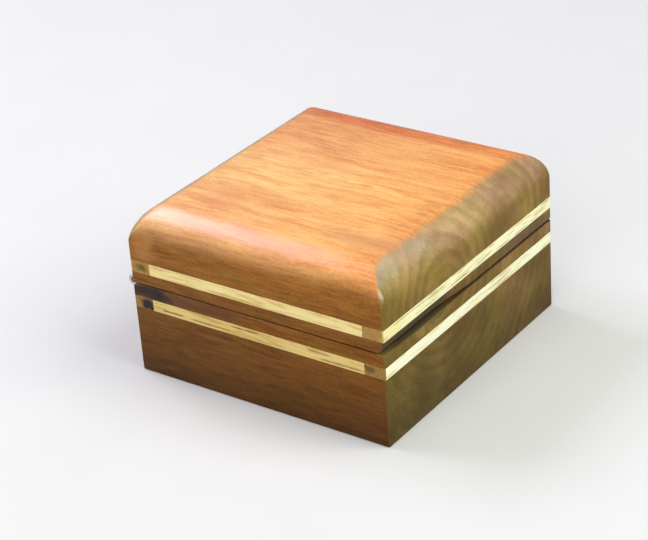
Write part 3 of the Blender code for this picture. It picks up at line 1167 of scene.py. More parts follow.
        # Painted light: end grain that turns upwards is lightened, as if lit from above.
        end = sketch.blend(effects["Lift"], end, sketch.tint(end, self.end_painted_light))
        end = sketch.tint(end, self.painted_foot_shade(look, self.foot_shade[1]))
        end = look.with_stains_and_painted_light(end, self.end_patches)
        colour = look.with_stains_and_painted_light(sketch.blend(effects["End"], colour, end), self.patches)
        sketch.feed(shader.inputs["Base Color"], colour)
        sketch.feed(shader.inputs["Roughness"], look.summed(DARK_ROUGH, *DARK_ROUGHER))
        sketch.feed(shader.inputs["Coat Weight"], self.coat_share(look))
        sketch.relief(shader, look.summed(effects["Streaks"], *DARK_RELIEF), 0.3, WOOD_DEPTH)
        set_sockets(shader, {"Specular IOR Level": 0.12, "Coat Roughness": 0.41, "Coat IOR": 2.0})
        return bpy.data.materials[self.name]


@dataclass(frozen=True)
class PaleWood:
    """Straight-grained pale wood for the strips, browner where its end shows."""

    name: str
    grain: Grain
    mid: Colour
    end: Colour
    flaws: float
    patches: tuple[Patch, ...] = ()

    def fibre_colour(self, look: Look, turned: Socket) -> Socket:
        """Colour of the strip's long faces, with thin dark flaws.

        Args:
            look: the material in the making.
            turned: the point on the piece, turned so that the fibres run along Y.

        Returns:
            The colour.
        """
        sketch = look.sketch
        dark = tuple(part * share for part, share in zip(self.mid, PALE_DARK))
        light = tuple(
            min(PALE_BRIGHTEST, part * share) for part, share in zip(self.mid, PALE_LIGHT)
        )
        figure = look.summed(sketch.times(look.effects["Bands"], PALE_BANDS), PALE_FIGURE)
        stops = [(0.0, dark), (PALE_MIDDLE, self.mid), (1.0, light)]
        colour = sketch.ramp(sketch.ease(figure, *PALE_SHARE), stops)
        x, y, z = sketch.split(turned)
        thin = sketch.join(x, sketch.times(y, FLAW_SQUEEZE), z)
        flaw = sketch.ease(sketch.noise(thin, *FLAW_NOISE), *FLAW_WIDTH)
        gate = sketch.ease(sketch.noise(turned, *FLAW_PLACES), *FLAW_GATE)
        share = sketch.times(sketch.times(flaw, gate), self.flaws)
        return sketch.blend(share, colour, FLAW_COLOUR)

    def end_colour(self, look: Look) -> Socket:
        """Colour of the strip's cut ends.

        Args:
            look: the material in the making.

        Returns:
            The colour.
        """
        brown = tuple(PALE_END_BROWN * part for part in self.end)
        deep = tuple(PALE_END_DEEP * part for part in self.end)
        return look.sketch.tones(look.eased("Specks", *PALE_END_SPECKS), (deep, self.end, brown))

    def build(self, groups: Groups) -> Material:
        """Make the material, with the fibres turned along the strip.

        Args:
            groups: the shared effects.

        Returns:
            The finished material.
        """
        sketch, shader = start_material(self.name)
        position, normal = sketch.surface()
        turned, turned_normal = position, normal
        if self.grain is Grain.ALONG_X:
            turned, turned_normal = sketch.swapped(position), sketch.swapped(normal)
        effects = outputs_of(
            sketch.group(groups.fibre, Position=turned),
            sketch.group(groups.facing, Position=turned, Normal=turned_normal),
        )
        look = Look(sketch, groups, position, effects)
        colour = self.fibre_colour(look, turned)
        colour = sketch.blend(effects["End"], colour, self.end_colour(look))
        sketch.feed(shader.inputs["Base Color"], look.with_stains_and_painted_light(colour, self.patches))
        sketch.feed(shader.inputs["Roughness"], look.summed(PALE_ROUGH, PALE_ROUGHER))
        sketch.relief(shader, effects["Streaks"], 0.25, WOOD_DEPTH)
        set_sockets(shader, {"Specular IOR Level": 0.15})
        return bpy.data.materials[self.name]


@dataclass(frozen=True)
class BrightMetal:
    """Nickel-plated sheet or wire with fine scratches and a little tarnish."""

    name: str
    colour: Colour
    tarnish: Colour
    roughness: float

    def build(self, groups: Groups) -> Material:
        """Make the material.

        Args:
            groups: the shared effects.

        Returns:
            The finished material.
        """
        sketch, shader = start_material(self.name)
        position, _ = sketch.surface()
        effects = outputs_of(sketch.group(groups.scuffs, Position=position))
        look = Look(sketch, groups, position, effects)
        share = look.eased("Smudge", *TARNISH_GATE)
        sketch.feed(shader.inputs["Base Color"], sketch.blend(share, self.colour, self.tarnish))
        rough = look.summed(self.roughness - METAL_SMOOTHER, *METAL_ROUGHER)
        sketch.feed(shader.inputs["Roughness"], rough)
        sketch.relief(shader, effects["Scratches"], 0.15, SCRATCH_DEPTH)
        set_sockets(shader, {"Metallic": 1.0})
        return bpy.data.materials[self.name]


# ---- the wooden halves ----


@dataclass
class BoxSizes:
    """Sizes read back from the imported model, and the small ones that only the eye sees."""

    half_width: float = 0.0
    half_depth: float = 0.0
    rim: float = 0.0
    lid_bottom: float = 0.0
    lid_top: float = 0.0
    round_over: float = 8.6 * MM
    lip: float = 2.9 * MM
    lip_end: float = 0.5 * MM
    lip_fade_start: float = -20.0 * MM
    lip_fade_length: float = 24.0 * MM
    back_ease: float = 1.0 * MM
    side_wall: float = 10.0 * MM
    end_wall: float = 12.0 * MM
    base_floor: float = 5.2 * MM
    lid_roof: float = 12.0 * MM
    hollow_corner: float = 6.35 * MM
    strip_inset: float = 6.0 * MM
    glue_line: float = 0.03 * MM
    upright_edge: float = 0.35 * MM
    foot_edge: float = 0.35 * MM
    rim_edge: float = 0.22 * MM
    groove_edge: float = 0.05 * MM
    hollow_edge: float = 0.5 * MM
    floor_fillet: float = 0.8 * MM
    rim_share: float = 1.5 * MM
    corner_wear: tuple[float, ...] = (0.5 * MM, 0.3 * MM, 1.2 * MM, 2.6 * MM)
    skin_cap: float = 2.0 * MM
    hollow_cap: float = 3.0 * MM
    edge_shrink: float = 0.25
    least_edge: float = 0.02 * MM
    overrun: float = 2.0 * MM
    round_points: int = 29
    lip_points: int = 25

    def __post_init__(self) -> None:
        """Read the block's size from its two CAD nodes."""
        base_low, base_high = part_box("base_block")
        lid_low, lid_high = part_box("lid_block")
        self.half_width = (base_high.x - base_low.x) / 2
        self.half_depth = (base_high.y - base_low.y) / 2
        self.rim = base_high.z
        self.lid_bottom = lid_low.z
        self.lid_top = lid_high.z


@dataclass
class Half:
    """One half of the block: its outer skin, groove, rim and hollow as one carried profile."""

    sizes: BoxSizes
    name: str
    body: Body
    slot: Slot
    strip_node: str

    def outer_path(self) -> np.ndarray:
        """Profile of the outer skin, as (inset, z), from the closed end to the rim."""
        raise NotImplementedError

    def levels(self) -> tuple[float, float]:
        """z of the hollow's mouth and of its closed end."""
        raise NotImplementedError

    def cutters(self) -> list[Piece]:
        """The pockets and eased edges that are cut from this half."""
        raise NotImplementedError

    def upright_radii(self, outer: np.ndarray) -> np.ndarray:
        """Plan radius of the four outer corners, less where the profile goes in.

        Args:
            outer: the outer profile.

        Returns:
            Four radii for each of its points.
        """
        sizes = self.sizes
        radius = sizes.upright_edge - outer[:, :1] * sizes.edge_shrink
        return np.clip(radius, sizes.least_edge, None).repeat(4, axis=1)

    def inner_path(self) -> np.ndarray:
        """Profile of the hollow, from its eased mouth to its closed end.

        Returns:
            The profile, as (distance outside the wall, z).
        """
        sizes = self.sizes
        mouth, closed = self.levels()
        corners = np.array([
            [sizes.rim_share, mouth], [0.0, mouth], [0.0, closed], [-sizes.hollow_cap, closed],
        ])
        radii = np.array([0.0, sizes.hollow_edge, sizes.floor_fillet, 0.0])
        return fillet_path(corners, radii, steps=5)

    def groove(self) -> tuple[float, float]:
        """Lower and upper z of the groove, a glue line outside the strip."""
        low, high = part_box(self.strip_node)
        return low.z - self.sizes.glue_line, high.z + self.sizes.glue_line

    def rings(self) -> np.ndarray:
        """Carry both profiles round the block.

        Outside, a ring's half sizes are the block's less the inset.  Inside,
        they are the hollow's plus the distance outside its wall.

        Returns:
            Array of rings, points and coordinates.
        """
        sizes = self.sizes
        outer, inner = self.outer_path(), self.inner_path()
        block = np.array([sizes.half_width, sizes.half_depth])
        hollow = block - np.array([sizes.side_wall, sizes.end_wall])
        half = np.concatenate([block[None] - outer[:, :1], hollow[None] + inner[:, :1]])
        round_corner = (sizes.hollow_corner + inner[:, :1]).repeat(4, axis=1)
        radii = np.concatenate([self.upright_radii(outer), round_corner])
        height = np.concatenate([outer[:, 1], inner[:, 1]])
        return plan_rings(half, radii, height, (0.0, 0.0), arc_points=9, side_points=14)

    def build(self, material: Material) -> Piece:
        """Skin the rings, cut the pockets and dress the half.

        Args:
            material: the half's finish.

        Returns:
            The dressed piece.
        """
        item = closed_loft(self.name + "_skin", self.rings())
        subtract(item, self.cutters())
        shade(item, angle=28.0)
        dress(item, material, self.body, self.slot, self.name)
        return item


@dataclass
class BaseHalf(Half):
    """The lower half: square edges, a groove below the rim and a deep hollow."""

    def outer_path(self) -> np.ndarray:
        """Underside, wall, groove and outer part of the rim.

        Returns:
            The profile, as (inset, z).
        """
        sizes = self.sizes
        low, high = self.groove()
        deep = sizes.strip_inset + sizes.glue_line
        corners = np.array([
            [sizes.skin_cap, 0.0], [0.0, 0.0], [0.0, low], [deep, low], [deep, high],
            [0.0, high], [0.0, sizes.rim], [sizes.rim_share, sizes.rim],
        ])
        edge = sizes.groove_edge
        radii = np.array([0.0, sizes.foot_edge, edge, 0.0, 0.0, edge, sizes.rim_edge, 0.0])
        return fillet_path(corners, radii)

    def levels(self) -> tuple[float, float]:
        """z of the rim and of the floor."""
        return self.sizes.rim, self.sizes.base_floor

    def cutters(self) -> list[Piece]:
        """The leaf's pocket and the small chamfer along the back edge.

        Returns:
            The linked cutters.
        """
        sizes = self.sizes
        floor = Hinge.axis_z() - Hinge.barrel_radius - Hinge.seat_gap
        return [
            leaf_pocket("base_pocket", sizes, floor, sizes.rim + sizes.overrun),
            back_ease("base_ease", sizes, sizes.rim, -1.0),
        ]


@dataclass
class LidHalf(Half):
    """The upper half: rounded top edges, a groove, a shallow hollow and a finger lip."""

    def outer_path(self) -> np.ndarray:
        """Round-over, wall, groove and outer part of the rim, from the top down.

        The round-over is a quarter circle: inset = r (1 - cos), drop = r (1 - sin).

        Returns:
            The profile, as (inset, z).
        """
        sizes = self.sizes
        low, high = self.groove()
        deep = sizes.strip_inset + sizes.glue_line
        turn = np.linspace(RIGHT_ANGLE, 0.0, sizes.round_points)
        over = np.stack([
            sizes.round_over * (1 - np.cos(turn)),
            sizes.lid_top - sizes.round_over * (1 - np.sin(turn)),
        ], axis=-1)
        flat = np.array([[sizes.round_over + sizes.skin_cap, sizes.lid_top]])
        corners = np.array([
            over[-1], [0.0, high], [deep, high], [deep, low],
            [0.0, low], [0.0, sizes.lid_bottom], [sizes.rim_share, sizes.lid_bottom],
        ])
        edge = sizes.groove_edge
        radii = np.array([0.0, edge, 0.0, 0.0, edge, sizes.rim_edge, 0.0])
        return np.concatenate([flat, over, fillet_path(corners, radii)[1:]])

    def levels(self) -> tuple[float, float]:
        """z of the rim and of the roof."""
        return self.sizes.lid_bottom, self.sizes.lid_top - self.sizes.lid_roof

    def upright_radii(self, outer: np.ndarray) -> np.ndarray:
        """Plan radius of the corners, softened where sanding has blunted the mitre creases.

        Through the round-over each corner's radius grows with the share of its height:
        radius = edge + worn * min(1, 2 * share), most at the back left.

        Args:
            outer: the outer profile.

        Returns:
            Four radii for each of its points.
        """
        sizes = self.sizes
        share = 1.0 - np.clip((sizes.lid_top - outer[:, 1:]) / sizes.round_over, 0.0, 1.0)
        worn = np.array([sizes.corner_wear])
        within = np.where(outer[:, :1] > sizes.round_over, 0.0, 1.0)
        edge = np.where(
            outer[:, 1:] > sizes.lid_top - sizes.round_over - 1e-6, sizes.upright_edge, 0.0
        )
        plain = super().upright_radii(outer)
        return np.where(edge > 0, edge + worn * np.minimum(1.0, 2.0 * share) * within, plain)

    def lip_cutter(self) -> Piece:
        """What the finger lip takes off the lower front edge.

        The lip is a quarter circle tangent to the front face and to the rim.
        Its radius eases from full on the left to slight on the right, by
        s * s * (3 - 2 * s) over the fade.

        Returns:
            The linked cutter.
        """
        sizes = self.sizes
        reach, far = sizes.half_width + sizes.overrun, sizes.overrun
        fade = np.linspace(0.0, 1.0, sizes.lip_points)
        faded = sizes.lip_fade_start + sizes.lip_fade_length * fade
        x = np.concatenate([[-reach], faded, [reach]])
        share = np.clip((x - sizes.lip_fade_start) / sizes.lip_fade_length, 0.0, 1.0)
        radius = sizes.lip + (sizes.lip_end - sizes.lip) * share * share * (3 - 2 * share)
        front, floor = -sizes.half_depth, sizes.lid_bottom
        turn = np.linspace(0.0, RIGHT_ANGLE, sizes.lip_points)[None]
        near = radius[:, None]
        arc = np.stack(
            [front + near * (1 - np.sin(turn)), floor + near * (1 - np.cos(turn))], axis=-1
        )
        low, out = np.full_like(radius, floor - far), np.full_like(radius, front - far)
        rest = np.stack([
            np.stack([out, floor + radius], axis=-1),
            np.stack([out, low], axis=-1),
            np.stack([front + radius, low], axis=-1),
        ], axis=1)
        section = np.concatenate([arc, rest], axis=1)
        along = np.broadcast_to(x[:, None, None], (*section.shape[:2], 1))
        return closed_loft("lid_lip", np.concatenate([along, section], axis=-1))

    def cutters(self) -> list[Piece]:
        """The finger lip, the leaf's pocket and the chamfer along the back edge.

        Returns:
            The linked cutters.
        """
        sizes = self.sizes
        roof = Hinge.axis_z() + Hinge.barrel_radius + Hinge.seat_gap
        return [
            self.lip_cutter(),
            leaf_pocket("lid_pocket", sizes, sizes.lid_bottom - sizes.overrun, roof),
            back_ease("lid_ease", sizes, sizes.lid_bottom, 1.0),
        ]


def leaf_pocket(name: str, sizes: BoxSizes, low: float, high: float) -> Piece:
    """The shallow pocket for a hinge leaf, open at the back.

    Args:
        name: the cutter's name.
        sizes: the box's sizes.
        low: z of its lower face.
        high: z of its upper face.

    Returns:
        The linked cutter.
    """
    leaf_low, leaf_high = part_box("hinge_base_leaf")
    gap = Hinge.seat_gap
    return box_cutter(
        name,
        (leaf_low.x - gap, leaf_low.y - gap, low),
        (leaf_high.x + gap, sizes.half_depth + sizes.overrun, high),
    )


def back_ease(name: str, sizes: BoxSizes, edge: float, side: float) -> Piece:
    """The chamfer on a back edge at the joint.

    Args:
        name: the cutter's name.
        sizes: the box's sizes.
        edge: z of the edge.
        side: -1 for the half below the joint and 1 for the one above.

    Returns:
        The linked cutter.
    """
    back, far, ease = sizes.half_depth, sizes.overrun, sizes.back_ease
    outline = np.array([
        [back - ease - far, edge - side * far],
        [back + far, edge - side * far],
        [back + far, edge + side * (ease + far)],
    ])
    reach = sizes.half_width + far
    return carry_along_x(name, outline, np.array([-reach, reach]))


# ---- the strips ----


@dataclass
class StripBand:
    """The four strips of one half."""

    sizes: BoxSizes
    owner: str
    body: Body
    cad_gap: float = 0.2 * MM
    long_edge: float = 0.05 * MM
    end_edge: float = 0.04 * MM
    edge_points: int = 4

    def strip(self, side: Side) -> Piece:
        """One strip, with fine edges and the block's own upright edge at its outer corners.

        Rings stack from the lower face to the upper one.  At each end face
        the rings draw in by the edge radius: inset = e (1 - cos), rise = e (1 - sin).

        Args:
            side: the face that it is let into.

        Returns:
            The linked piece, not dressed yet.
        """
        node = f"{self.owner}_strip_{side.value}"
        low, high = (np.array(corner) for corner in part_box(node))
        gap = self.cad_gap - self.sizes.glue_line
        if side in (Side.LEFT, Side.RIGHT):
            low[1] -= gap
            high[1] += gap
        turn = np.linspace(0.0, RIGHT_ANGLE, self.edge_points)
        inset = self.long_edge * (1 - np.sin(turn))
        rise = self.long_edge * (1 - np.cos(turn))
        inset = np.concatenate([inset, inset[::-1]])
        height = np.concatenate([low[2] + rise, (high[2] - rise)[::-1]])
        half = ((high - low)[:2] / 2)[None] - inset[:, None]
        upright, fine = self.sizes.upright_edge, self.end_edge
        corner = {
            Side.FRONT: (upright, upright, fine, fine),
            Side.BACK: (fine, fine, upright, upright),
            Side.LEFT: (fine, fine, fine, fine),
            Side.RIGHT: (fine, fine, fine, fine),
        }[side]
        radii = np.repeat(np.array(corner)[None], len(height), axis=0)
        centre = (low + high) / 2
        rings = plan_rings(
            half, radii, height, (centre[0], centre[1]), arc_points=6, side_points=10
        )
        item = closed_loft(node + "_skin", rings)
        shade(item, angle=32.0)
        return item

    def build(self, materials: dict[Grain, Material]) -> None:
        """Make and dress all four strips.

        Args:
            materials: the finish for each direction of the grain.
        """
        for side in Side:
            grain = Grain.ALONG_X if side in (Side.FRONT, Side.BACK) else Grain.ALONG_Y
            item = self.strip(side)
            dress(item, materials[grain], self.body, Slot.PALE, f"{self.owner}_strip_{side.value}")


# ---- the hinge ----


class Hinge:
    """The strip hinge: two rolled leaves, a pin and two rows of screws."""

    barrel_radius = 1.398 * MM
    sheet = 0.7 * MM
    seat_gap = 0.2 * MM
    knuckles = 13
    knuckle_gap = 0.3 * MM
    curl_end_gap = 0.2 * MM
    pin_radius = 0.5 * MM
    screw_radius = 0.65 * MM
    head_radius = 1.25 * MM
    head_height = 0.6 * MM
    screw_length = 6.0 * MM
    screw_gap = 0.2 * MM
    screws_in_a_leaf = 4
    slot_width = 0.35 * MM
    slot_depth = 0.25 * MM
    slot_turn = 40.0
    thread_pitch = 0.55 * MM
    thread_start = 0.5 * MM
    thread_share = 0.28
    taper = 1.6 * MM
    tip = 0.1 * MM
    least_root = 0.12
    crest_slope = 3.2
    head_middle = 0.2 * MM
    head_rim = 0.08 * MM
    head_edge = 0.03 * MM
    pin_dome = 0.3 * MM
    pin_end_share = 0.75
    pin_end_angle = 0.12
    pin_end_points = 8
    curl_points = 73
    thread_rings = 90
    thread_points = 24
    hole_points = 40
    overrun = 2.0 * MM

    @staticmethod
    def axis_z() -> float:
        """Height of the hinge axis, read from the pin."""
        low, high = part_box("hinge_pin")
        return (low.z + high.z) / 2

    @staticmethod
    def axis_y() -> float:
        """Depth of the hinge axis, read from the pin."""
        low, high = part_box("hinge_pin")
        return (low.y + high.y) / 2

    @staticmethod
    def side_of(owner: Body) -> float:
        """Which way from the axis a body's leaf lies: -1 is down and 1 up."""
        return -1.0 if owner is Body.BASE else 1.0

    def curl(self, side: float, inner_edge: float) -> np.ndarray:
        """Outline of a leaf rolled round the pin.

        Two arcs about the axis, of the barrel's radius and of the bore's, turn from
        straight below the axis round its back to just short of the sheet.

        Args:
            side: -1 for the base's leaf and 1, mirrored, for the lid's.
            inner_edge: y of the leaf's edge inside the box.

        Returns:
            The outline, as (y, z) points.
        """
        bore = self.barrel_radius - self.sheet
        end = math.pi + math.asin((bore - self.curl_end_gap) / self.barrel_radius)
        angle = np.linspace(-RIGHT_ANGLE, end, self.curl_points)
        unit = np.stack([np.cos(angle), np.sin(angle)], axis=-1)
        edge = inner_edge - self.axis_y()
        flat = np.array([[edge, -bore], [edge, -self.barrel_radius]])
        outline = np.concatenate([flat, unit * self.barrel_radius, unit[::-1] * bore])
        return np.stack(
            [self.axis_y() + outline[:, 0], self.axis_z() - side * outline[:, 1]], axis=-1
        )

    def notches(self, name: str, base_leaf: bool, low: float, high: float) -> list[Piece]:
        """Blocks over the stretches of barrel that the other leaf's knuckles fill.

        Args:
            name: the leaf's name.
            base_leaf: whether the leaf is the base's.
            low: x of its left end.
            high: x of its right end.

        Returns:
            The linked cutters.
        """
        pitch = (high - low) / self.knuckles
        edge = self.axis_y() - self.barrel_radius - self.knuckle_gap
        far = self.barrel_radius + self.overrun
        made = []
        for index in range(self.knuckles):
            if (index % 2 == 0) == base_leaf:
                continue
            start = low + pitch * index - self.knuckle_gap / 2
            end = start + pitch + self.knuckle_gap
            start -= self.overrun if index == 0 else 0.0
            end += self.overrun if index == self.knuckles - 1 else 0.0
            near_corner = (start, edge, self.axis_z() - far)
            far_corner = (end, self.axis_y() + far, self.axis_z() + far)
            made.append(box_cutter(f"{name}_notch_{index}", near_corner, far_corner))
        return made

    def turned(
        self, name: str, outline: np.ndarray, place: Vector, side: float, points: int
    ) -> Piece:
        """Turn a profile about an upright line.

        Args:
            name: the piece's name.
            outline: radius and depth of each point.
            place: where the line starts.
            side: -1 where depth runs down and 1 where it runs up.
            points: points round the line.

        Returns:
            The linked piece.
        """
        cosine, sine = circle(points)
        x = place.x + outline[:, :1] * cosine
        y = place.y + outline[:, :1] * sine
        z = np.broadcast_to(place.z + side * outline[:, 1:], x.shape)
        return closed_loft(name, np.stack([x, y, z], axis=-1))

    def leaf(self, owner: Body, material: Material) -> None:
        """One leaf with its knuckles and countersunk holes.

        Args:
            owner: the body that it rides on.
            material: its finish.
        """
        base_leaf = owner is Body.BASE
        node = f"hinge_{owner.value}_leaf"
        low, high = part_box(node)
        side = self.side_of(owner)
        item = carry_along_x(node + "_skin", self.curl(side, low.y), np.array([low.x, high.x]))
        cutters = self.notches(node, base_leaf, low.x, high.x)
        face = self.axis_z() + side * (self.barrel_radius - self.sheet)
        wide, narrow = self.head_radius + self.screw_gap, self.screw_radius + self.screw_gap
        slope = (self.head_radius - self.screw_radius) / self.head_height
        outline = np.array([
            [wide + slope * self.overrun, -self.overrun],
            [narrow, self.head_height],
            [narrow, self.sheet + self.overrun],
        ])
        for number, place in enumerate(self.screw_places(owner), start=1):
            mouth = Vector((place.x, place.y, face))
            hole = self.turned(f"{node}_hole_{number}", outline, mouth, side, self.hole_points)
            cutters.append(hole)
        subtract(item, cutters)
        shade(item, angle=30.0)
        dress(item, material, owner, Slot.HINGE, node)

    def screw_places(self, owner: Body) -> list[Vector]:
        """The middle of each screw's head, read from the CAD screws.

        Args:
            owner: the body that the screws ride on.

        Returns:
            One point for each screw, level with its leaf's face at the joint.
        """
        face = self.axis_z() + self.side_of(owner) * (self.barrel_radius - self.sheet)
        places = []
        for number in range(1, self.screws_in_a_leaf + 1):
            low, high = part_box(f"{owner.value}_hinge_screw_{number}")
            places.append(Vector(((low.x + high.x) / 2, (low.y + high.y) / 2, face)))
        return places

    def screw(self, owner: Body, number: int, place: Vector, material: Material) -> None:
        """A slotted countersunk screw with a cut thread.

        The shank's radius is its root radius plus a ridge that follows
        depth / pitch plus the angle as a share of a turn, which makes a helix.

        Args:
            owner: the body that it rides on.
            number: its place in the row, from 1.
            place: the middle of its head.
            material: its finish.
        """
        side = self.side_of(owner)
        corners = np.array([
            [self.head_middle, 0.0], [self.head_radius, 0.0],
            [self.head_radius, self.head_rim], [self.screw_radius, self.head_height],
        ])
        head = fillet_path(corners, np.array([0.0, self.head_edge, self.head_edge, 0.0]), steps=3)
        first, last = self.head_height + self.thread_start, self.screw_length - self.tip
        depth = np.linspace(first, last, self.thread_rings)
        left = (self.screw_length - depth) / self.taper
        root = self.screw_radius * (1.0 - self.thread_share) * np.clip(left, self.least_root, 1.0)
        ridge = self.screw_radius * self.thread_share * np.clip(left, 0.0, 1.0)
        angle = np.linspace(0.0, FULL_TURN, self.thread_points, endpoint=False)
        phase = np.mod(depth[:, None] / self.thread_pitch + side * angle[None] / FULL_TURN, 1.0)
        crest = np.clip(1.0 - np.abs(phase - 0.5) * self.crest_slope, 0.0, 1.0)
        radius = root[:, None] + ridge[:, None] * crest
        plain = np.repeat(head[:, :1], len(angle), axis=1)
        radius = np.concatenate([plain, radius])
        down = np.concatenate([head[:, 1], depth])
        x = place.x + radius * np.cos(angle)
        y = place.y + radius * np.sin(angle)
        z = np.broadcast_to((place.z + side * down)[:, None], x.shape)
        node = f"{owner.value}_hinge_screw_{number}"
        item = closed_loft(node + "_skin", np.stack([x, y, z], axis=-1))
        slot = self.slot_cutter(node, place, side, self.slot_turn * number)
        subtract(item, [slot])
        shade(item, angle=40.0)
        dress(item, material, owner, Slot.SCREW, node)

    def slot_cutter(self, name: str, place: Vector, side: float, turn: float) -> Piece:
        """The driver slot across a head, turned about the screw's own line.

        Args:
            name: the screw's name.
            place: the middle of its head.
            side: -1 where the screw points down and 1 where it points up.
            turn: the slot's angle in degrees.

        Returns:
            The linked cutter.
        """
        reach, half = self.head_radius + self.overrun, self.slot_width / 2
        cutter = box_cutter(
            name + "_slot", (-reach, -half, -self.overrun), (reach, half, self.slot_depth)
        )
        facing = Matrix.Diagonal((1.0, 1.0, side, 1.0))
        about = Matrix.Rotation(math.radians(turn), 4, "Z")
        cutter.data.transform(Matrix.Translation(place) @ about @ facing)
        if side < 0:
            cutter.data.flip_normals()
        return cutter

    def pin(self, material: Material) -> None:
        """The wire pin, its ends rounded over.

        Radius at each end follows a quarter circle of the pin's radius.

        Args:
            material: its finish.
        """
        low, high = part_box("hinge_pin")
        turn = np.linspace(self.pin_end_angle, RIGHT_ANGLE, self.pin_end_points)
        inset = self.pin_dome * (1 - np.sin(turn))
        thin = self.pin_end_share
        radius = self.pin_radius * (thin + (1 - thin) * np.sin(turn))
        start = np.stack([low.x + inset, radius], axis=-1)
        end = np.stack([high.x - inset[::-1], radius[::-1]], axis=-1)
        spine = np.concatenate([start, end])
        cosine, sine = circle(points=32)
        y = self.axis_y() + spine[:, 1:] * cosine
        z = self.axis_z() + spine[:, 1:] * sine
        x = np.broadcast_to(spine[:, :1], y.shape)
        item = closed_loft("hinge_pin_skin", np.stack([x, y, z], axis=-1))
        shade(item, angle=40.0)
        dress(item, material, Body.BASE, Slot.PIN, "hinge_pin")

    def build(self, sheet: Material, wire: Material, screw: Material) -> None:
        """Make both leaves, the pin and all the screws.

        Args:
            sheet: finish of the leaves.
            wire: finish of the pin.
            screw: finish of the screws.
        """
        for owner in Body:
            self.leaf(owner, sheet)
            for number, place in enumerate(self.screw_places(owner), start=1):
                self.screw(owner, number, place, screw)
        self.pin(wire)


# ---- the studio ----


@dataclass(frozen=True)
class Viewpoint:
    """Where the photograph was taken from, as angles about the box and a distance."""

    azimuth: float = -53.174
    elevation: float = 28.373
    roll: float = -4.267
    distance: float = 0.52865
    target: Point = (-0.0086, 0.00082, 0.0240)
    focal_px: float = 2050.0

    def build(self) -> Piece:
        """Make the scene's camera.

        Returns:
            The camera.
        """
        az, el, roll = (math.radians(angle) for angle in (self.azimuth, self.elevation, self.roll))
        back = Vector((math.sin(az) * math.cos(el), -math.cos(az) * math.cos(el), math.sin(el)))
        right = Vector((math.cos(az), math.sin(az), 0.0))
        up = back.cross(right)
        turned_right = right * math.cos(roll) + up * math.sin(roll)
        turned_up = up * math.cos(roll) - right * math.sin(roll)
        data = bpy.data.cameras.new("photo_view")
        data.sensor_width = SENSOR_WIDTH_MM
        data.lens = self.focal_px * SENSOR_WIDTH_MM / PHOTO_WIDTH_PX
        data.clip_start = 0.01
        data.clip_end = 20.0
        camera = linked_object("photo_view", data)
        place = Matrix((turned_right, turned_up, back)).transposed().to_4x4()
        place.translation = Vector(self.target) + back * self.distance
        camera.matrix_world = place
        bpy.context.scene.camera = camera
        return camera


@dataclass(frozen=True)
class Softbox:
    """One soft lamp aimed at the box, so wide and so tall."""

    name: str
    direction: Point
    distance: float
    size: tuple[float, float]
    power: float
    colour: Colour

    def build(self) -> None:
        """Make the lamp."""
        data = bpy.data.lights.new(self.name, "AREA")
        data.shape = "RECTANGLE"
        data.size, data.size_y = self.size
        data.energy = self.power
        data.color = self.colour
        lamp = linked_object(self.name, data)
        aim = Vector(self.direction).normalized()
        lamp.location = aim * self.distance
        lamp.rotation_mode = "QUATERNION"
        lamp.rotation_quaternion = aim.to_track_quat("Z", "Y")


@dataclass
class Studio:
    """A pale floor, soft lamps and an even pale surround."""

    lamps: tuple[Softbox, ...] = (
        Softbox("key_back", (-0.05, 0.66, 0.75), 0.8, (0.50, 0.24), 3.05, (0.88, 0.79, 1.0)),
        Softbox("fill_left", (-0.95, -0.15, 0.45), 1.1, (0.8, 0.8), 4.9, (1.0, 0.98, 0.95)),
        Softbox("fill_front", (0.15, -0.75, 0.85), 1.1, (0.8, 0.8), 7.2, (1.0, 1.0, 0.98)),
    )
    surround: float = 0.38
    surround_colour: Colour = (0.95, 0.97, 1.0)
    floor_colour: Colour = (0.785, 0.805, 0.77)
    floor_noise: tuple[float, float] = (30.0, 4.0)
    floor_gate: tuple[float, float] = (0.3, 0.7)
    floor_darker: float = 0.985
    floor_reach: float = 3.0
    floor_drop: float = 0.05 * MM

    def build_floor(self) -> None:
        """A floor with a faint mottle, level with the underside of the box."""
        turns = np.array([[-1.0, -1.0, 0.0], [1.0, -1.0, 0.0], [1.0, 1.0, 0.0], [-1.0, 1.0, 0.0]])
        corners = turns * self.floor_reach - np.array([0.0, 0.0, self.floor_drop])
        mesh = bpy.data.meshes.new("floor")
        mesh.from_pydata(corners.tolist(), [], [[0, 1, 2, 3]])
        floor = linked_object("floor", mesh)
        sketch, shader = start_material("floor_paper")
        position, _ = sketch.surface()
        mottle = sketch.ease(sketch.noise(position, *self.floor_noise), *self.floor_gate)
        darker = tuple(self.floor_darker * part for part in self.floor_colour)
        sketch.feed(shader.inputs["Base Color"], sketch.blend(mottle, darker, self.floor_colour))
        set_sockets(shader, {"Roughness": 0.85, "Specular IOR Level": 0.2})
        mesh.materials.append(bpy.data.materials["floor_paper"])

    def build_surround(self) -> None:
        """An even pale light from all round."""
        world = bpy.data.worlds.new("surround")
        world.use_nodes = True
        pale = {"Color": (*self.surround_colour, 1.0), "Strength": self.surround}
        set_sockets(world.node_tree.nodes["Background"], pale)
        bpy.context.scene.world = world

    def build(self) -> None:
        """Make the floor, the surround and the lamps."""
        self.build_floor()
        self.build_surround()
        for lamp in self.lamps:
            lamp.build()
        bpy.context.scene.view_settings.view_transform = "Standard"


# ---- the finishes of this box ----

LEFT, FRONT = -0.040, -0.0386

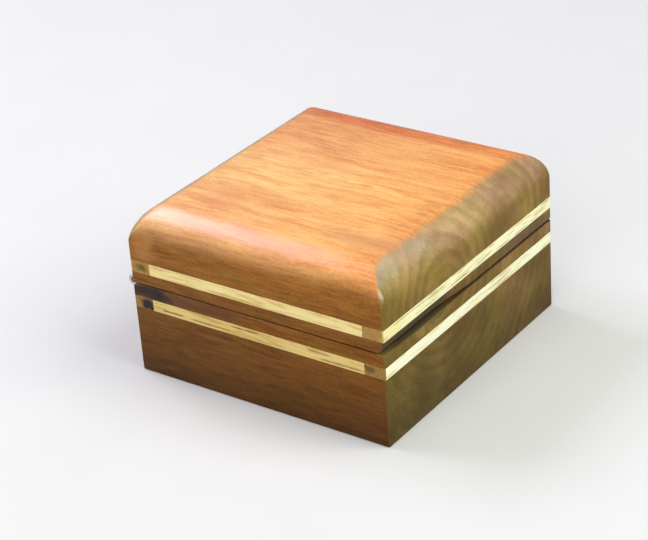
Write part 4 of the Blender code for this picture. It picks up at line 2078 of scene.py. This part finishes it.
STAIN = Patch(
    (0.026, 0.015, 0.014), (LEFT, 0.0345, 0.0244), (0.004, 0.0036, 0.0008),
    (0.003, 0.0044, 0.0026), 0.95,
)
STAIN_TAIL = Patch(
    (0.024, 0.015, 0.011), (LEFT, 0.0290, 0.0236), (0.004, 0.0012, 0.0003),
    (0.003, 0.0030, 0.0016), 0.80,
)
STAIN_HAZE = Patch(
    (0.090, 0.037, 0.018), (LEFT, 0.0190, 0.0244), (0.004, 0.0080, 0.0008),
    (0.004, 0.0130, 0.0018), 0.6,
)
KNOT = Patch(
    (0.060, 0.030, 0.010), (LEFT, 0.0089, 0.0176), (0.002, 0.0004, 0.0001),
    (0.002, 0.0034, 0.0010), 0.42,
)
SMALL_KNOT = Patch(
    (0.062, 0.030, 0.010), (LEFT, 0.0030, 0.0145), (0.002, 0.0006, 0.0001),
    (0.002, 0.0038, 0.0009), 0.38,
)
OLIVE_MARK = Patch(
    (0.115, 0.080, 0.012), (LEFT, 0.0220, 0.0095), (0.002, 0.0006, 0.0004),
    (0.002, 0.0022, 0.0014), 0.6,
)
GREEN_FLECK = Patch(
    (0.055, 0.068, 0.030), (-0.0160, FRONT, 0.0251), (0.0004, 0.002, 0.0001),
    (0.0034, 0.002, 0.0010), 0.7,
)
RIM_OLIVE = Patch(
    (0.175, 0.128, 0.036), (-0.0290, -0.0377, 0.0259), (0.0130, 0.0012, 0.00025),
    (0.0050, 0.0006, 0.00015), 0.85,
)
RIM_SHADE = Patch(
    (0.062, 0.048, 0.024), (-0.0235, -0.0377, 0.0259), (0.0090, 0.0012, 0.00025),
    (0.0070, 0.0006, 0.00015), 0.80,
)
GOLD_FLECK = Patch(
    (0.44, 0.31, 0.060), (-0.0240, FRONT, 0.0243), (0.0001, 0.002, 0.0003),
    (0.0022, 0.002, 0.0016), 0.5,
)
LID_OLIVE = Patch(
    (0.19, 0.15, 0.020), (LEFT, 0.0068, 0.0366), (0.002, 0.0004, 0.0003), (0.002, 0.0018, 0.0010),
    0.5,
)
LIP_SHADE = Patch(
    (0.062, 0.048, 0.021), (-0.0275, FRONT, 0.0274), (0.0130, 0.0004, 0.0019),
    (0.008, 0.0003, 0.0004), 0.93,
)
# A reddish darker place on the lid's front band, towards the right.
REDDISH_BAND = Patch(
    (0.120, 0.074, 0.040), (0.0275, FRONT, 0.0277), (0.007, 0.002, 0.0012), (0.010, 0.002, 0.0012),
    0.55,
)
# Painted highlight: a pale sheen along the front round-over near the top.
FRONT_ROUND_HIGHLIGHT = Patch(
    (0.52, 0.47, 0.36), (-0.0270, -0.0345, 0.0452), (0.0080, 0.0012, 0.0006),
    (0.0090, 0.0032, 0.0026), 0.36,
)
# Painted highlight: a pale line down the lid's front-left arris.
ARRIS_HIGHLIGHT = Patch(
    (0.72, 0.66, 0.46), (-0.0388, -0.0372, 0.0428), (0.0002, 0.0006, 0.0012),
    (0.0005, 0.0012, 0.0028), 0.50,
)
BROWN_HAZE = Patch(
    (0.62, 0.30, 0.135), (-0.0258, -0.0250, 0.0468), (0.0012, 0.0050, 0.004),
    (0.0040, 0.0110, 0.004), 0.5,
)
# Painted shade: the lid's underside along the front joint, darkened where the gap lies in shadow.
LID_JOINT_SHADE = Patch(
    (0.050, 0.030, 0.014), (0.0160, FRONT, 0.0262), (0.0240, 0.0005, 0.0001),
    (0.0080, 0.0005, 0.0004), 0.85,
)
# Painted shade: the base's rim along the front joint, darkened where the gap lies in shadow.
BASE_JOINT_SHADE = Patch(
    (0.050, 0.030, 0.014), (0.0160, FRONT, 0.0259), (0.0240, 0.0007, 0.0001),
    (0.0080, 0.0006, 0.0003), 0.85,
)
# Painted highlight: a pale pink sheen along the left round-over.
LEFT_ROUND_HIGHLIGHT = Patch(
    (0.84, 0.40, 0.26), (-0.0352, 0.0060, 0.0458), (0.0012, 0.0200, 0.0006),
    (0.0024, 0.0180, 0.0020), 0.42,
)
WARM_CORNER = Patch(
    (0.52, 0.235, 0.070), (LEFT, 0.0340, 0.0370), (0.006, 0.0010, 0.0012), (0.004, 0.0040, 0.0040),
    0.45,
)

SIDE_TONES = ((0.185, 0.062, 0.006), (0.295, 0.112, 0.013), (0.400, 0.160, 0.024))
BASE_SIDE_TONES = ((0.180, 0.058, 0.004), (0.280, 0.102, 0.008), (0.385, 0.150, 0.015))
# Partly painted light: far lighter than the side tones, partly the wood's own colour and partly as
# if lit from above.
TOP_TONES = ((0.81, 0.315, 0.084), (0.93, 0.470, 0.135), (0.96, 0.585, 0.185))
END_TONES = ((0.190, 0.116, 0.024), (0.285, 0.180, 0.041), (0.385, 0.252, 0.061))

LID_WOOD = DarkWood(
    name="lid_figured_wood",
    side=SIDE_TONES, top=TOP_TONES, end=END_TONES,
    ruddy=(0.92, 0.232, 0.043), deep_ruddy=(0.46, 0.092, 0.014), golden=(0.97, 0.72, 0.20),
    gloss=0.90, foot_shade=(0.26, 0.33), strip_height=0.0312, band_tones=(0.87, 1.0),
    end_painted_light=(1.66, 1.74, 3.3),
    patches=(LEFT_ROUND_HIGHLIGHT, LID_OLIVE, WARM_CORNER, BROWN_HAZE, LIP_SHADE, REDDISH_BAND, LID_JOINT_SHADE),
    end_patches=(FRONT_ROUND_HIGHLIGHT, ARRIS_HIGHLIGHT),
)
BASE_WOOD = DarkWood(
    name="base_figured_wood",
    side=BASE_SIDE_TONES, top=BASE_SIDE_TONES, end=END_TONES,
    ruddy=(0.28, 0.11, 0.02), deep_ruddy=(0.20, 0.08, 0.01), golden=(0.30, 0.16, 0.03),
    gloss=0.35, foot_shade=(0.30, 0.45), strip_height=0.0210, band_tones=(0.90, 1.08),
    end_painted_light=(1.2, 1.2, 1.4),
    patches=(
        STAIN_HAZE, STAIN, STAIN_TAIL, KNOT, SMALL_KNOT, OLIVE_MARK, GREEN_FLECK, GOLD_FLECK,
        BASE_JOINT_SHADE, RIM_OLIVE, RIM_SHADE,
    ),
)


def side_dash(y: float, z: float, length: float, strength: float) -> Patch:
    """A thin dark dash along a left strip."""
    half, fade = (0.002, 0.35 * length, 0.00006), (0.002, 0.3 * length, 0.00034)
    return Patch((0.22, 0.11, 0.030), (LEFT, y, z), half, fade, strength)


def front_dash(x: float, z: float, length: float, strength: float) -> Patch:
    """A thin brown dash along the lid's front strip."""
    half, fade = (0.35 * length, 0.002, 0.00004), (0.3 * length, 0.002, 0.00020)
    return Patch((0.30, 0.23, 0.06), (x, FRONT, z), half, fade, strength)


LID_SIDE_STRIP = PaleWood(
    "lid_side_strip_wood", Grain.ALONG_Y, (0.80, 0.645, 0.265), (0.40, 0.24, 0.06), 0.45
)
BASE_SIDE_STRIP = PaleWood(
    "base_side_strip_wood", Grain.ALONG_Y, (0.67, 0.50, 0.168), (0.22, 0.12, 0.03), 0.6,
    (
        side_dash(0.0262, 0.02015, 0.0066, 0.95), side_dash(0.0140, 0.0200, 0.0110, 0.75),
        side_dash(0.0036, 0.0215, 0.0080, 0.9), side_dash(-0.0190, 0.0214, 0.0066, 0.7),
        side_dash(-0.0255, 0.0198, 0.0130, 0.65),
    ),
)
LID_END_STRIP = PaleWood(
    "lid_end_strip_wood", Grain.ALONG_X, (0.97, 0.94, 0.55), (0.37, 0.215, 0.050), 1.0,
    (
        Patch(
            (0.070, 0.044, 0.009), (LEFT, 0.0352, 0.0311), (0.003, 0.0003, 0.0002),
            (0.002, 0.0026, 0.0014), 0.8,
        ),
        Patch(
            (0.90, 0.74, 0.26), (-0.0380, FRONT, 0.0310), (0.003, 0.0002, 0.002),
            (0.007, 0.0002, 0.002), 0.6,
        ),
        Patch(
            (0.40, 0.30, 0.085), (LEFT, -0.0377, 0.0300), (0.0015, 0.0003, 0.0003),
            (0.0008, 0.0012, 0.0010), 0.7,
        ),
        front_dash(-0.0290, 0.0321, 0.0140, 0.7), front_dash(-0.0060, 0.0302, 0.0100, 0.9),
        front_dash(0.0150, 0.0300, 0.0060, 0.7), front_dash(0.0245, 0.0299, 0.0060, 0.8),
        front_dash(0.0340, 0.0308, 0.0050, 0.6), front_dash(-0.0180, 0.0318, 0.0100, 0.6),
    ),
)
BASE_END_STRIP = PaleWood(
    "base_end_strip_wood", Grain.ALONG_X, (0.97, 0.96, 0.63), (0.30, 0.165, 0.042), 0.25,
    (
        Patch(
            (0.012, 0.012, 0.015), (LEFT, 0.0342, 0.0205), (0.003, 0.0010, 0.0007),
            (0.002, 0.0022, 0.0015), 0.97,
        ),
        Patch(
            (0.075, 0.040, 0.012), (LEFT, -0.0342, 0.0210), (0.003, 0.0006, 0.0003),
            (0.002, 0.0016, 0.0010), 0.75,
        ),
    ),
)
SHEET_METAL = BrightMetal("hinge_plate", (0.56, 0.54, 0.50), (0.36, 0.32, 0.26), 0.42)
WIRE_METAL = BrightMetal("hinge_wire", (0.78, 0.76, 0.72), (0.50, 0.45, 0.38), 0.22)
SCREW_METAL = BrightMetal("screw_plate", (0.58, 0.56, 0.51), (0.34, 0.30, 0.24), 0.32)


def build_box(groups: Groups) -> None:
    """Make every piece of the box.

    Args:
        groups: the shared effects.
    """
    sizes = BoxSizes()
    base = BaseHalf(sizes, "base_block", Body.BASE, Slot.BASE_WOOD, "base_strip_front")
    base.build(BASE_WOOD.build(groups))
    lid = LidHalf(sizes, "lid_block", Body.LID, Slot.LID_WOOD, "lid_strip_front")
    lid.build(LID_WOOD.build(groups))
    strips = {
        Body.BASE: {Grain.ALONG_X: BASE_END_STRIP, Grain.ALONG_Y: BASE_SIDE_STRIP},
        Body.LID: {Grain.ALONG_X: LID_END_STRIP, Grain.ALONG_Y: LID_SIDE_STRIP},
    }
    for body, finishes in strips.items():
        made = {grain: finish.build(groups) for grain, finish in finishes.items()}
        StripBand(sizes, body.value, body).build(made)
    metals = [metal.build(groups) for metal in (SHEET_METAL, WIRE_METAL, SCREW_METAL)]
    Hinge().build(*metals)


def main() -> None:
    """Build the view, the studio and the box."""
    logging.basicConfig(level=logging.INFO, format="%(name)s: %(message)s")
    Viewpoint().build()
    Studio().build()
    build_box(build_groups())


if __name__ == "__main__":
    main()
